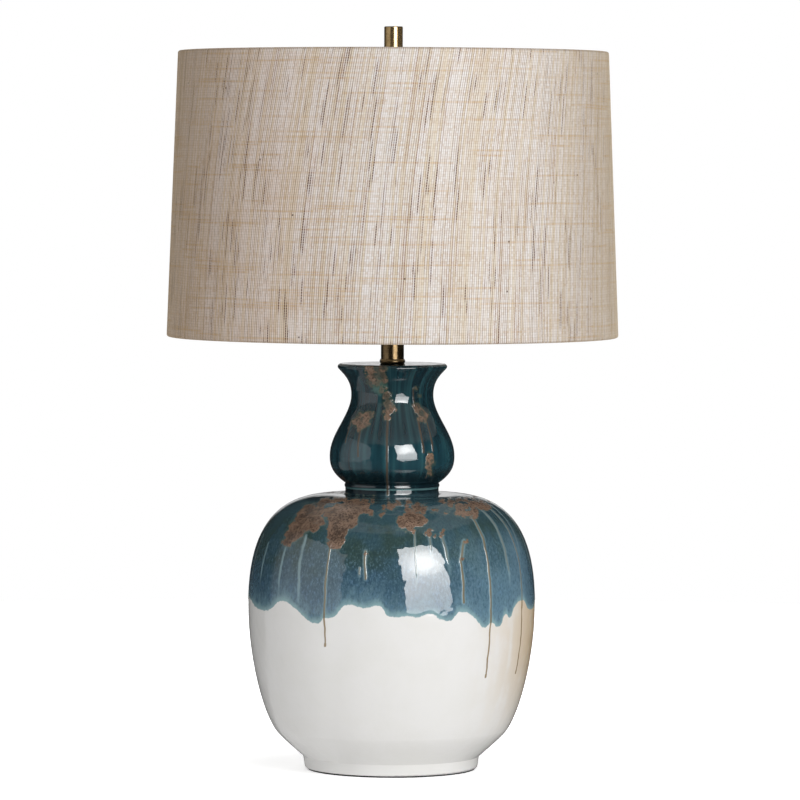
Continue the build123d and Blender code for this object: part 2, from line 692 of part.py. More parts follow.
def bulb_glass():
    """Hollow pear-shaped envelope, open only at its seat in the screw base."""
    neck_top = Z_GLASS + BULB_NECK_H
    widest = neck_top + BULB_SWELL_H

    def surface(inset):
        """Neck, swell and dome of one glass surface."""
        neck_r, round_r = BULB_NECK_R - inset, BULB_R - inset
        neck = Vector(neck_r, neck_top)
        side = Vector(round_r, widest)
        leave = neck + Vector(0, BULB_SWELL_LOW * BULB_SWELL_H)
        arrive = side - Vector(0, BULB_SWELL_HIGH * BULB_SWELL_H)
        return (
            Line((neck_r, Z_GLASS), neck),
            Bezier(neck, leave, arrive, side),
            RadiusArc(side, (0, widest + round_r), -round_r),
        )

    crown = Line((0, widest + BULB_R), (0, widest + BULB_R - GLASS_T))
    seat = Line((BULB_NECK_R - GLASS_T, Z_GLASS), (BULB_NECK_R, Z_GLASS))
    return lathe(*surface(0), crown, *surface(GLASS_T), seat)


def bulb_screw_base():
    """Screw cap: a cup whose floor closes on the insulator."""
    inner_r = BULB_NECK_R + SLIP
    floor = Z_GLASS
    outline = [
        (0, Z_BASE),
        (BASE_R, Z_BASE),
        (BASE_R, Z_BASE_TOP),
        (inner_r, Z_BASE_TOP),
        (inner_r, floor),
        (0, floor),
    ]
    return lathe(Polyline(*outline, close=True))


def bulb_insulator():
    low = Z_BASE - INSULATOR_H
    outline = [(0, low), (TIP_R + INSULATOR_STEP, low), (BASE_R - INSULATOR_STEP, Z_BASE), (0, Z_BASE)]
    return lathe(Polyline(*outline, close=True))


def bulb_contact():
    """Rounded solder tip that meets the socket's centre contact."""
    top = Z_TIP + TIP_H
    return lathe(
        Polyline((0, Z_TIP), (0, top), (TIP_R, top)),
        Bezier((TIP_R, top), (TIP_R, Z_TIP), (0, Z_TIP)),
    )


# Shade


def shade_radius(height, inset):
    """Shade cone's radius at a height, inside the outer surface by an inset."""
    share = (height - Z_SHADE_BOTTOM) / SHADE_HEIGHT
    return SHADE_BOTTOM_R + share * (SHADE_TOP_R - SHADE_BOTTOM_R) - inset


def cone_shell(inset, thickness, low, high):
    """Conical band of the shade between two heights."""
    outer = [(shade_radius(low, inset), low), (shade_radius(high, inset), high)]
    inner = [(r - thickness, z) for r, z in reversed(outer)]
    return lathe(Polyline(*outer, *inner, close=True))


def shade_fabric():
    """Cone of fabric with its top and bottom edges rolled in over the wire rings."""
    low, high = Z_SHADE_BOTTOM + FABRIC_T, Z_SHADE_TOP - FABRIC_T
    outline = [
        (SHADE_BOTTOM_R - HEM_W, Z_SHADE_BOTTOM),
        (SHADE_BOTTOM_R, Z_SHADE_BOTTOM),
        (SHADE_TOP_R, Z_SHADE_TOP),
        (SHADE_TOP_R - HEM_W, Z_SHADE_TOP),
        (SHADE_TOP_R - HEM_W, high),
        (shade_radius(high, FABRIC_T), high),
        (shade_radius(low, FABRIC_T), low),
        (SHADE_BOTTOM_R - HEM_W, low),
    ]
    return lathe(Polyline(*outline, close=True))


def shade_liner():
    low, high = Z_SHADE_BOTTOM + FABRIC_T + GLUE, Z_SHADE_TOP - FABRIC_T - GLUE
    return cone_shell(FABRIC_T + GLUE, SHADE_LINER_T, low, high)


def ring_place(at_top):
    """Centreline radius and height of a wire ring against the liner and the rolled edge."""
    step = FABRIC_T + GLUE + SHADE_WIRE_R
    height = Z_SHADE_TOP - step if at_top else Z_SHADE_BOTTOM + step
    nearest = height + SHADE_WIRE_R if at_top else height
    return shade_radius(nearest, FABRIC_T + 2 * GLUE + SHADE_LINER_T + SHADE_WIRE_R), height


def wire_ring(at_top):
    radius, height = ring_place(at_top)
    return Pos(0, 0, height) * Torus(radius, SHADE_WIRE_R)


def spider():
    """Washer on the harp's stud with wire arms that rise to the top ring."""
    ring_r, ring_z = ring_place(True)
    start = Vector(0, WASHER_R - ARM_LAP, Z_WASHER + WASHER_T / 2)
    end = Vector(0, ring_r - SHADE_WIRE_R - GLUE, ring_z)
    arm = Plane(start, z_dir=end - start) * Cylinder(
        SPIDER_WIRE_R, (end - start).length, align=(Align.CENTER, Align.CENTER, Align.MIN)
    )
    washer = tube(WASHER_R, 0, Z_WASHER, Z_FINIAL)
    arms = [Rot(0, 0, i * 360 / SPIDER_ARMS) * arm for i in range(SPIDER_ARMS)]
    return washer + arms - tube(STUD_THREAD_R + LOOSE, 0, Z_WASHER - WASHER_T, Z_FINIAL + WASHER_T)


def finial():
    """Plain turned brass post with a blind tapped bore."""
    post = tube(FINIAL_R, 0, Z_FINIAL, LAMP_HEIGHT)
    ends = post.edges().filter_by(GeomType.CIRCLE)
    post = chamfer(ends, FINIAL_CHAMFER)
    bore_top = Z_FINIAL + STUD_GRIP + FINIAL_BORE_SPARE
    return post - tube(STUD_THREAD_R + SLIP, 0, Z_FINIAL, bore_top)


def nodes():
    """Every separate piece of the lamp by name."""
    right_sleeve, left_sleeve = mirrored_pair(harp_sleeve())
    return {
        "ceramic_body": ceramic_body(),
        "felt_base_pad": felt_base_pad(),
        "cord_grommet": cord_grommet(),
        "threaded_rod": threaded_rod(),
        "bottom_plate_washer": bottom_plate_washer(),
        "bottom_lock_washer": bottom_lock_washer(),
        "bottom_nut": hex_nut(Z_BOTTOM_NUT),
        "rod_bush": rod_bush(),
        "neck_ring": neck_ring(),
        "brass_neck": brass_neck(),
        "harp_saddle": harp_saddle(),
        "saddle_nut": hex_nut(Z_TOP_NUT),
        "harp_wire": harp_wire(),
        "harp_stud": harp_stud(),
        "harp_sleeve_left": left_sleeve,
        "harp_sleeve_right": right_sleeve,
        "socket_cap": socket_cap(),
        "cap_set_screw": cap_set_screw(),
        "socket_shell": socket_shell(),
        "socket_liner": socket_liner(),
        "socket_body": socket_body(),
        "terminal_screws": terminal_screws(),
        "socket_screw_shell": socket_screw_shell(),
        "socket_contact": socket_contact(),
        "switch_shaft": switch_shaft(),
        "switch_knob": switch_knob(),
        "bulb_glass": bulb_glass(),
        "bulb_screw_base": bulb_screw_base(),
        "bulb_insulator": bulb_insulator(),
        "bulb_contact": bulb_contact(),
        "shade_fabric": shade_fabric(),
        "shade_liner": shade_liner(),
        "shade_top_ring": wire_ring(True),
        "shade_bottom_ring": wire_ring(False),
        "shade_spider": spider(),
        "finial": finial(),
    }


def main():
    os.makedirs("parts", exist_ok=True)
    for name, shape in nodes().items():
        export_step(shape, f"parts/{name}.step")


if __name__ == "__main__":
    main()
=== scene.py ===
"""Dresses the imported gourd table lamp: glaze, woven shade, felt, metalwork, light and camera."""
import json
import math
import random
from collections import namedtuple
from types import SimpleNamespace

import bmesh
import bpy
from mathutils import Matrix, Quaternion, Vector


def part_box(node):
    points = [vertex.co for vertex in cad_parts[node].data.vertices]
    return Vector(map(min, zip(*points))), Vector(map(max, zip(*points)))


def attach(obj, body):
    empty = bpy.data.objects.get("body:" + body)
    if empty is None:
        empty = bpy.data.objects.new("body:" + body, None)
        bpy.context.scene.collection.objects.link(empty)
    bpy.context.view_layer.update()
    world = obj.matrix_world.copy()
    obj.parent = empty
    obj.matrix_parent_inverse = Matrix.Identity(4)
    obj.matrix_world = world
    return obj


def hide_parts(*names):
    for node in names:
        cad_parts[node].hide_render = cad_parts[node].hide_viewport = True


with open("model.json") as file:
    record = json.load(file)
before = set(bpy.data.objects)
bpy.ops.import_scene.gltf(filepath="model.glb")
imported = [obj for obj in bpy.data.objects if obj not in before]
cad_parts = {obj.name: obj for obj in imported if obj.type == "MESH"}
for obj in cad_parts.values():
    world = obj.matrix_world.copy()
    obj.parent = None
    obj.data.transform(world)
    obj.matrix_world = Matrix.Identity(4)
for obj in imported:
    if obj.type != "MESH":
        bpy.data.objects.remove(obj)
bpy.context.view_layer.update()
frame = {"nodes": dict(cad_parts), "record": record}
NODES = frame["nodes"]
SCENE = bpy.context.scene

MM = 0.001
DEG = math.pi / 180

# Camera, from the photograph's perspective: places in millimetres, roll in degrees
CAMERA_AT = (7.4, -4961.0, 587.6)
CAMERA_AIM = (7.4, 0.0, 354.0)
CAMERA_LENS, CAMERA_SENSOR = 233.3, 36.0
CAMERA_ROLL = 0.2
CAMERA_CLIP = (0.1, 100.0)

# Shade in millimetres, as the fabric's solid has it
SHADE_TOP_R, SHADE_TOP_Z = 205.6, 687.3
SHADE_BOTTOM_R, SHADE_BOTTOM_Z = 216.1, 414.7
SHADE_HEIGHT = SHADE_TOP_Z - SHADE_BOTTOM_Z
SHADE_MEAN_R = (SHADE_TOP_R + SHADE_BOTTOM_R) / 2
FABRIC_T = 0.8
HEM_W = 5.5
EDGE_ROUND, EDGE_POINTS = 2.2, 6
LAP_W, LAP_T = 12.0, 0.5
SHADE_ROWS, SHADE_STEPS = 24, 720
THREAD_PITCH = 2.05
WEFT_PITCH = 2.35
# Width of the painted shade along each rolled edge
EDGE_SHADE_W = 3.0

# Felt in millimetres
FELT_STEPS = 180
FELT_FRAY = 0.25
FELT_SEED = 5

# Spacing of the brushing on turned metal, in millimetres
BRUSH_PITCH = 0.35

# Stage: metres, azimuths in degrees from the camera's side, and levels of light
FLOOR_R, FLOOR_STEPS = 1.9, 96
FLOOR_GREY, FLOOR_GREY_MIRRORED = (0.86, 0.86, 0.86, 1), (0.06, 0.06, 0.06, 1)
FLOOR_BY_FOOT, FLOOR_BOUNCE, FLOOR_FILL = 0.5, 0.25, 0.33
ROOM_LIGHT, ROOM_MIRRORED = 0.35, 0.02
BACKDROP_MIRRORED = 0.8
KEY_AT, FILL_AT, BACK_AT = 26.3, -79.0, 180.0
FILL_SIDE = (math.sin(FILL_AT * DEG), -math.cos(FILL_AT * DEG), 0.0)

# The key panel's bright middle and dimmer foot, in metres from its centre, and their levels
HOT_AT, HOT_REACH, HOT_CORE = (-0.05, 0.06, 0.0), 0.75, 0.1
HOT_EDGE, HOT_UPPER, HOT_LOWER, HOT_SHINE = (-0.40, -0.08), 1.5, 0.8, 1.7
SHEEN_FOOT, SHEEN_RISE = 0.9, 1.6


def linear(*srgb):
    """Colour written as 0 to 255 screen values, as a linear colour with alpha."""
    def one(value):
        value /= 255
        return value / 12.92 if value <= 0.04045 else ((value + 0.055) / 1.055) ** 2.4

    return (*(one(v) for v in srgb), 1.0)


# Node graphs


class Field:
    """A value that varies over a surface: an output socket that takes arithmetic."""

    def __init__(self, graph, socket):
        self.graph = graph
        self.socket = socket

    def __add__(self, other):
        return self.graph.math("ADD", self, other)

    def __sub__(self, other):
        return self.graph.math("SUBTRACT", self, other)

    def __rsub__(self, other):
        return self.graph.math("SUBTRACT", other, self)

    def __mul__(self, other):
        return self.graph.math("MULTIPLY", self, other)

    def __rmul__(self, other):
        return self.graph.math("MULTIPLY", other, self)

    def __truediv__(self, other):
        return self.graph.math("DIVIDE", self, other)

    def step(self, low, high):
        """Smooth rise from 0 at low to 1 at high; low above high gives a fall."""
        made = self.graph.node("MapRange", interpolation_type="SMOOTHSTEP")
        return self.graph.call(made, {0: self, 1: low, 2: high})

    def band(self, start, full, past, end):
        """Smooth rise from start to full, and fall from past to end."""
        return self.step(start, full) * self.step(end, past)

    def least(self, other):
        return self.graph.math("MINIMUM", self, other)

    def most(self, other):
        return self.graph.math("MAXIMUM", self, other)

    def floor(self):
        return self.graph.math("FLOOR", self)

    def fract(self):
        return self.graph.math("FRACT", self)

    def root(self):
        return self.graph.math("SQRT", self)

    def hump(self):
        """For a value from 0 to 1: 0 at its ends and 1 half-way."""
        return self.graph.math("SINE", self * math.pi)


class Graph:
    """One node tree, with a call for each kind of node that the materials use."""

    def __init__(self, tree):
        self.tree = tree
        self.spots = None

    def node(self, kind, **settings):
        made = self.tree.nodes.new("ShaderNode" + kind)
        for name, value in settings.items():
            setattr(made, name, value)
        return made

    def read(self, kind, output):
        """Output of a node that needs no input."""
        return Field(self, self.node(kind).outputs[output])

    def feed(self, socket, value):
        """Links a field to an input, or sets the input to a plain value."""
        if isinstance(value, Field):
            self.tree.links.new(value.socket, socket)
        else:
            socket.default_value = value

    def call(self, made, inputs, output=0):
        """Output of a node whose inputs are given by number or name."""
        for key, value in inputs.items():
            self.feed(made.inputs[key], value)
        return Field(self, made.outputs[output])

    def math(self, operation, *values):
        return self.call(self.node("Math", operation=operation), dict(enumerate(values)))

    def vector(self, operation, *values, output=0):
        made = self.node("VectorMath", operation=operation)
        return self.call(made, dict(enumerate(values)), output)

    def join(self, x, y, z=0.0):
        return self.call(self.node("CombineXYZ"), {0: x, 1: y, 2: z})

    def thrice(self, value):
        """Vector with the same value three times."""
        return self.join(value, value, value)

    def split(self, vector):
        made = self.node("SeparateXYZ")
        self.feed(made.inputs[0], vector)
        return [Field(self, out) for out in made.outputs]

    def noise(self, vector, scale=1.0, detail=2.0, roughness=0.5, output=0):
        made = self.node("TexNoise")
        inputs = {"Vector": vector, "Scale": scale, "Detail": detail, "Roughness": roughness}
        return self.call(made, inputs, output)

    def random(self, x, y=0.0):
        """The same random number from 0 to 1 for each pair of whole numbers."""
        made = self.node("TexWhiteNoise", noise_dimensions="2D")
        return self.call(made, {"Vector": self.join(x, y)})

    def curve(self, value, points):
        """Smooth curve through points whose both coordinates run from 0 to 1."""
        made = self.node("FloatCurve")
        ends = made.mapping.curves[0].points
        ends[0].location, ends[1].location = points[0], points[-1]
        for point in points[1:-1]:
            ends.new(*point)
        made.mapping.update()
        return self.call(made, {"Value": value})

    def mix(self, factor, a, b):
        made = self.node("Mix", data_type="RGBA")
        return self.call(made, {0: factor, 6: a, 7: b}, 2)

    def bump(self, height, distance, strength=1.0):
        """Relief from a height in units of distance, in millimetres."""
        inputs = {"Height": height, "Distance": distance * MM, "Strength": strength}
        return self.call(self.node("Bump"), inputs)

    def place(self):
        """Point of the surface in millimetres, in the row frame at rest."""
        if self.spots is None:
            metres = self.read("TexCoord", "Object")
            self.spots = self.vector("MULTIPLY", metres, (1000.0, 1000.0, 1000.0))
        return self.spots


def material(name, build):
    """Principled material; build gets the graph and returns the shader's inputs by name."""
    made = bpy.data.materials.new(name)
    made.use_nodes = True
    graph = Graph(made.node_tree)
    shader = made.node_tree.nodes["Principled BSDF"]
    for key, value in build(graph).items():
        graph.feed(shader.inputs[key], value)
    return made


def wear(piece, finish):
    """Gives a piece one material."""
    piece.data.materials.clear()
    piece.data.materials.append(finish)


# Glaze: azimuths in degrees to the right of the front, heights and widths in millimetres

Run = namedtuple("Run", "top_azimuth tip_azimuth top tip half brown")
Spot = namedtuple("Spot", "across height radius")

# Lower edge of the blue glaze across the front: azimuth and height
EDGE_FRONT = [
    (-90, 166), (-78, 164), (-68, 158), (-60, 157), (-54, 162), (-48, 168), (-42, 163),
    (-36, 154), (-30, 149.5), (-27, 155), (-24.5, 155.5), (-21, 162), (-17, 168), (-11, 165.5),
    (-5, 168), (-2, 160), (1, 157), (6, 158), (10, 157), (12.5, 158.5), (15, 160), (19, 155),
    (23, 153), (25.5, 158), (28, 161), (33, 157), (37, 149), (40, 145), (43, 149), (46.7, 144.5),
    (50, 152), (52, 156), (54, 152), (58, 162), (64.6, 167), (70, 158), (76, 156), (83, 160),
    (90, 166),
]
# Runs of glaze on the front: azimuths and heights of top and tip, half width, share of brown
RUNS_FRONT = [Run(*row) for row in [
    (-51, -51, 219, 179, 0.9, 0.05), (-41, -39.5, 230, 172, 1.0, 0.15),
    (-27, -27, 224, 150, 1.0, 1.0), (-27, -27, 155, 129, 0.95, 1.0),
    (-10.6, -10.6, 218, 193, 1.2, 0.9), (-13.0, -13.0, 203, 195, 0.8, 0.6),
    (10, 10, 236, 188, 0.7, 0.6), (16.5, 17, 233, 215, 1.0, 0.5),
    (22.5, 24.0, 234, 203, 1.2, 0.5), (32.4, 29.5, 226, 208, 1.5, 0.9),
    (29.5, 29.5, 210, 170, 1.2, 1.0), (44, 42.7, 250, 150, 1.3, 0.95),
    (42.7, 42.5, 156, 98, 1.0, 1.0), (56.5, 55.3, 253, 188, 1.4, 0.5),
    (66, 64, 254, 160, 1.4, 0.8), (64, 64, 165, 98, 1.0, 1.0),
    (73, 68.5, 253, 214, 1.0, 0.3), (-66, -66, 220, 186, 0.9, 0.05),
    (-78, -78, 226, 176, 0.9, 0.6), (82, 80, 246, 192, 1.2, 0.4),
    (-5.0, -5.0, 340, 266, 1.2, 0.9), (-56, -51, 336, 315, 1.0, 0.9),
    (-37, -32.5, 332, 303, 1.2, 0.9), (32, 30, 338, 307, 1.2, 0.9),
    (44, 41, 337, 308, 1.1, 0.9), (30, 33, 366, 345, 0.9, 0.7),
    (36.5, 37, 289, 282, 0.8, 0.9), (-27, -27, 131, 129, 1.3, 1.0),
    (42.5, 42.5, 100, 98, 1.4, 1.0), (64, 64, 100, 98, 1.3, 1.0),
]]
# Patches of ash on the front, as round spots in the front view
SPOTS_FRONT = [Spot(*row) for row in [
    (-99, 223, 4), (-95, 229, 6), (-90, 235, 7.5), (-83, 243, 9), (-78, 249, 8.5),
    (-73, 254, 4.5), (-68, 244, 4.5), (-74, 238, 4.5), (-70, 251, 5), (-66, 256, 6),
    (-60, 257, 6), (-57, 253, 8), (-49, 256, 8), (-43, 252, 8), (-52, 247, 8), (-43, 245, 8.5),
    (-54, 239, 7), (-46, 238, 5.5), (-52, 233, 8), (-52, 227, 7.5), (-57, 223, 4), (-38, 257, 6),
    (-30, 256, 5.5), (-24, 255.5, 4.5), (-20, 253.5, 3.4), (-62, 260, 3.5), (-52, 261, 3.5),
    (-43, 261.5, 3.5), (-33, 262, 3), (-25.5, 262, 3), (-18, 262.5, 3), (-13, 257.5, 2.4),
    (-7.5, 257, 3.2), (0, 257, 3.2), (2, 258.5, 2.6), (-2.5, 260.5, 1.8), (7, 261, 2.2),
    (16, 261, 2.5), (15, 256, 3.2), (24, 256.3, 4), (30.5, 255.3, 3.6), (10, 244, 5.8),
    (18, 246, 7.8), (25.5, 246, 6.2), (18, 240, 4.5), (21, 235, 2), (35.5, 234, 2.8),
    (37, 237, 1.7), (46.5, 236, 2), (47.5, 232, 1.7), (41.5, 231.5, 1.2), (41, 254, 1.8),
    (51.5, 252, 1.6), (-8, 251, 2), (68.5, 225.5, 2), (66, 211, 2), (-24, 216, 1.6),
    (48, 261, 2.5), (56, 260, 3.2), (63.5, 260, 3.2), (63.5, 254, 4.5), (70.5, 259, 4),
    (70.5, 251.5, 4.5), (78, 258, 4.2), (76.5, 252.5, 4.5), (85, 256, 4), (91, 254.5, 2.8),
    (77.5, 247.5, 2.8), (-36, 250, 6), (-38, 244, 6), (-22, 386, 4.5), (-16, 386, 5),
    (-10, 387, 4.5), (-17, 379, 6), (-11, 379, 5), (-8, 374, 4), (-20, 371, 2.5), (-14, 373, 5),
    (-10, 366, 3.4), (-6, 360, 3.4), (-5, 352.5, 4.4), (-4.6, 346.5, 4.8), (-4.8, 341, 3.4),
    (-1, 349, 3), (3, 346.5, 1.8), (-21.5, 341, 4), (-24, 338.5, 5), (-29, 337.5, 5.2),
    (-33, 336, 4.6), (-36.5, 335, 3.2), (-30, 332, 4.6), (-26, 333, 4.4), (-32, 329, 2.6),
    (24.5, 348, 3.8), (27.5, 343.5, 5), (30, 341, 4), (27, 338, 3.4), (24, 343.5, 3),
    (22.5, 366, 1.6), (23.5, 359, 1.6), (30.5, 336.5, 1.9), (35.5, 301, 4.4), (35.5, 296.5, 4.2),
    (35, 292, 3.6), (34.3, 287, 2.3),
]]
# Heights that the curve of the edge covers
EDGE_LOW, EDGE_SPAN = 120.0, 80.0
# Runs no browner than this fade out above their tips: longest fade, its share of the run, and
# the half widths that it counts as
PALE_RUN, RUN_FADE, RUN_FADE_SHARE, RUN_END = 0.7, 16.0, 0.4, 1.5
# Brown along the middle line of a run, and its change per squared half width
RUN_CORE, RUN_CORE_FALL = 1.35, -0.7

# Middle of the collar, and the heights between which the upper gourd's glaze takes over
COLLAR_MIDDLE = 266
UPPER_FROM, UPPER_FULL = 262, 270
# Bands round the front and up the vessel: start, full, past, end
STAIN_AT, STAIN_CORE_AT = (28, 90, 108, 130), (52, 72, 82, 96)
INDIGO_AT, LIGHT_AT = (36, 46, 54, 62), (12, 50, 64, 86)
OLIVE_Z, SHOULDER_Z = (182, 216, 236, 252), (250, 258, 264, 268)
COLLAR_Z, CREST_HIGHLIGHT_Z = (258, 262, 270, 272), (269.2, 270.4, 270.8, 272.0)
BELLY_Z = (284, 294, 306, 326)
# Green pool on the upper gourd, in the front view
POOL_AT = (-12.5, 368.5, 0.0)

# Glaze colours
WHITE_COOL, WHITE_WARM = linear(231, 230, 228), linear(229, 228, 225)
STAIN_TAN = linear(209, 179, 133)
BLUE_FOOT, BLUE_MIDDLE, BLUE_TOP = linear(100, 130, 144), linear(62, 89, 105), linear(56, 82, 90)
BLUE_EDGE, BLUE_RIGHT = linear(146, 178, 180), linear(112, 144, 162)
COBALT, OLIVE = linear(72, 106, 144), linear(52, 68, 54)
SPECK_PALE, SPECK_DARK = linear(116, 148, 162), linear(34, 56, 74)
# The last teal here is painted shade, for under the upper gourd and the collar's left
TEAL, TEAL_BELLY, TEAL_SHADE = linear(24, 49, 57), linear(40, 88, 100), linear(8, 18, 24)
STREAK_PALE, STREAK_DARK = linear(50, 92, 98), linear(14, 28, 36)
# Painted highlight on the collar's crest
CREST_HIGHLIGHT = linear(120, 164, 166)
POOL_GREEN, POOL_DARK = linear(72, 112, 104), linear(24, 42, 32)
RUN_HALO = linear(142, 172, 180)
RUN_ON_WHITE, RUN_ON_BLUE = linear(138, 116, 78), linear(121, 111, 88)
RUN_ON_TEAL = linear(82, 68, 54)
GLOW_ON_BLUE, GLOW_ON_TEAL = linear(92, 112, 106), linear(76, 90, 70)
ASH_DARK, ASH_PALE, ASH_RIM = linear(86, 68, 56), linear(136, 110, 92), linear(138, 110, 90)
GRIT_DARK, GRIT_PALE = linear(54, 40, 33), linear(146, 118, 98)


def back_glaze():
    """Edge, runs and patches of the unseen half: the front's, mirrored and moved about."""
    def turned_to(azimuth):
        return -azimuth + 7 * math.sin(azimuth / 14) * math.cos(azimuth * DEG)

    def lift(at, height, most):
        return most * math.sin(at) * (0.4 if height > COLLAR_MIDDLE else 1)

    edge = sorted(
        (turned_to(a), h + 5 * math.sin(a / 9) * math.cos(a * DEG)) for a, h in EDGE_FRONT
    )
    runs = []
    for run in RUNS_FRONT:
        shift = lift(run.top_azimuth / 6 + 1, run.top, 9)
        ends = turned_to(run.top_azimuth), turned_to(run.tip_azimuth)
        runs.append(Run(*ends, run.top + shift, run.tip + shift, run.half, run.brown))
    spots = []
    for across, height, radius in SPOTS_FRONT:
        aside = -0.97 * across + 6 * math.sin(across / 19)
        raised = height + lift(across / 13, height, 3)
        spots.append(Spot(aside, raised, radius * (1 + 0.15 * math.sin(across / 5))))
    return edge, runs, spots


def edge_height(graph, azimuth, points):
    """Height of the glaze edge at an azimuth, from its measured or made-up points."""
    scaled = [((a + 90) / 180, (h - EDGE_LOW) / EDGE_SPAN) for a, h in points]
    return graph.curve(azimuth / 180 + 0.5, scaled) * EDGE_SPAN + EDGE_LOW


def threes(rows):
    """Rows in groups of three, the last group filled up with its own rows."""
    return [(rows[start:start + 3] * 3)[:3] for start in range(0, len(rows), 3)]


def run_fade(run):
    """Length over which a pale run fades out above its tip; brown ones end in a drop."""
    if run.brown > PALE_RUN:
        return 0.0
    return min(RUN_FADE, RUN_FADE_SHARE * (run.top - run.tip))


def run_fields(graph, azimuth, height, per_degree, runs):
    """Nearness to the runs in half widths, and how brown they are; three share each vector."""
    nearest, brown = None, None
    azimuths, heights = graph.thrice(azimuth), graph.thrice(height)
    widths = graph.thrice(per_degree)
    for group in threes(runs):
        slopes = [(run.top_azimuth - run.tip_azimuth) / (run.top - run.tip) for run in group]
        offsets = [run.tip_azimuth - slope * run.tip for run, slope in zip(group, slopes)]
        lines = graph.vector("MULTIPLY_ADD", heights, slopes, offsets)
        across = graph.vector("MULTIPLY", graph.vector("SUBTRACT", azimuths, lines), widths)

        fades = [run_fade(run) for run in group]
        tips = [run.tip + fade for run, fade in zip(group, fades)]
        rates = [RUN_END * run.half / fade if fade else 1.0 for run, fade in zip(group, fades)]
        below = graph.vector("MULTIPLY", graph.vector("SUBTRACT", tips, heights), rates)
        above = graph.vector("SUBTRACT", heights, [run.top for run in group])
        beyond = graph.vector("MAXIMUM", below, above)
        beyond = graph.vector("MAXIMUM", beyond, (0.0, 0.0, 0.0))

        squares = graph.vector("MULTIPLY", across, across)
        squares = graph.vector("MULTIPLY_ADD", beyond, beyond, squares)
        scaled = graph.vector("MULTIPLY", squares, [1 / run.half ** 2 for run in group])
        core = graph.vector("MULTIPLY_ADD", scaled, [RUN_CORE_FALL] * 3, [RUN_CORE] * 3)
        core = graph.vector("MINIMUM", core, (1.0, 1.0, 1.0))
        core = graph.vector("MULTIPLY", core, [run.brown for run in group])
        nearest = scaled if nearest is None else graph.vector("MINIMUM", nearest, scaled)
        brown = core if brown is None else graph.vector("MAXIMUM", brown, core)
    one, two, three = graph.split(nearest)
    near = one.least(two).least(three).root()
    one, two, three = graph.split(brown)
    return near, one.most(two).most(three).most(0.0)


def spot_field(graph, across, height, spots):
    """Millimetres inside the nearest spot, negative outside; three spots share each vector."""
    deepest = None
    acrosses, heights = graph.thrice(across), graph.thrice(height)
    for group in threes(spots):
        aside = graph.vector("SUBTRACT", acrosses, [spot.across for spot in group])
        above = graph.vector("SUBTRACT", heights, [spot.height for spot in group])
        squares = graph.vector("MULTIPLY", aside, aside)
        squares = graph.vector("MULTIPLY_ADD", above, above, squares)
        falls, peaks = [-0.5 / spot.radius for spot in group], [spot.radius / 2 for spot in group]
        depths = graph.vector("MULTIPLY_ADD", squares, falls, peaks)
        deepest = depths if deepest is None else graph.vector("MAXIMUM", deepest, depths)
    one, two, three = graph.split(deepest)
    return one.most(two).most(three)


def vessel(graph):
    """Places on the vessel, and the noises that its glazes share, some drawn out downwards."""
    place = graph.place()
    x, y, height = graph.split(place)
    radius = (x * x + y * y).root()
    east, south = x / radius, y / radius
    drawn_out = graph.join(east * 10.0, south * 10.0, height * 0.012)
    flow = graph.join(east * 100.0, south * 100.0, (height - radius) * 0.35)
    upper = height.step(UPPER_FROM, UPPER_FULL)
    return SimpleNamespace(
        place=place,
        x=x,
        height=height,
        per_degree=radius * DEG,
        front=graph.math("ARCTAN2", x, y * -1.0) / DEG,
        back=graph.math("ARCTAN2", x * -1.0, y) / DEG,
        behind=y.step(-0.5, 0.5),
        wander=graph.noise(place, 0.045, 2.0) - 0.5,
        ragged=graph.noise(place, 0.28, 3.0, 0.6) - 0.5,
        streak=graph.noise(drawn_out, 1.0, 1.0, 0.5),
        cloud=graph.noise(place, 0.03, 3.0, 0.55),
        mottle=graph.noise(place, 0.11, 3.0, 0.6),
        speckle=graph.noise(flow, 0.7, 3.0, 0.7),
        upper=upper,
        lower=1.0 - upper,
        facing_up=graph.split(graph.read("NewGeometry", "Normal"))[2],
    )


def above_edge(graph, at, edge_back):
    """Height above the lower edge of the blue glaze."""
    edge_f = edge_height(graph, at.front + at.wander * 2.4, EDGE_FRONT)
    edge_b = edge_height(graph, at.back + at.wander * 2.4, edge_back)
    edge = edge_f + (edge_b - edge_f) * at.behind
    return at.height - edge + at.ragged * 3.2


def all_runs(graph, at, runs_back):
    """Nearness to the runs of both halves in half widths, and how brown they are."""
    aside = at.wander * 2.0
    near_f, brown_f = run_fields(graph, at.front + aside, at.height, at.per_degree, RUNS_FRONT)
    near_b, brown_b = run_fields(graph, at.back + aside, at.height, at.per_degree, runs_back)
    near = near_f.least(near_b) * (at.mottle * 0.7 + 0.65)
    return near, brown_f.most(brown_b) * near.step(1.3, 0.6)


def ash_depth(graph, at, spots_back):
    """Millimetres inside the ash: none on the closed top, and broken up on the shoulder."""
    shift = graph.split(graph.noise(at.place, 0.09, 3.0, 0.6, output=1))
    across = at.x + (shift[0] - 0.5) * 14.0 + at.ragged * 5.0
    lifted = at.height + (shift[1] - 0.5) * 8.0 + at.ragged * 3.5
    inside_f = spot_field(graph, across, lifted, SPOTS_FRONT)
    inside_b = spot_field(graph, across * -1.0, lifted, spots_back)
    islands = graph.noise(at.place, 0.05, 2.0, 0.6).step(0.44, 0.36) * at.height.band(*SHOULDER_Z)
    top = at.facing_up.step(0.75, 0.95) * at.upper
    return inside_f + (inside_b - inside_f) * at.behind - islands * 6.0 - top * 9.0


def white_glaze(graph, at):
    """White, with a tan stain washed down the right."""
    strongest = at.front.band(*STAIN_CORE_AT) * 0.18
    washed = (at.cloud * 0.4 + at.streak * 0.75 + at.speckle * 0.1 + strongest).step(0.35, 0.72)
    stain = at.front.band(*STAIN_AT) * at.height.step(15, 130) * washed
    white = graph.mix(at.cloud.step(0.35, 0.7), WHITE_COOL, WHITE_WARM)
    return graph.mix(stain * 0.88, white, STAIN_TAN)


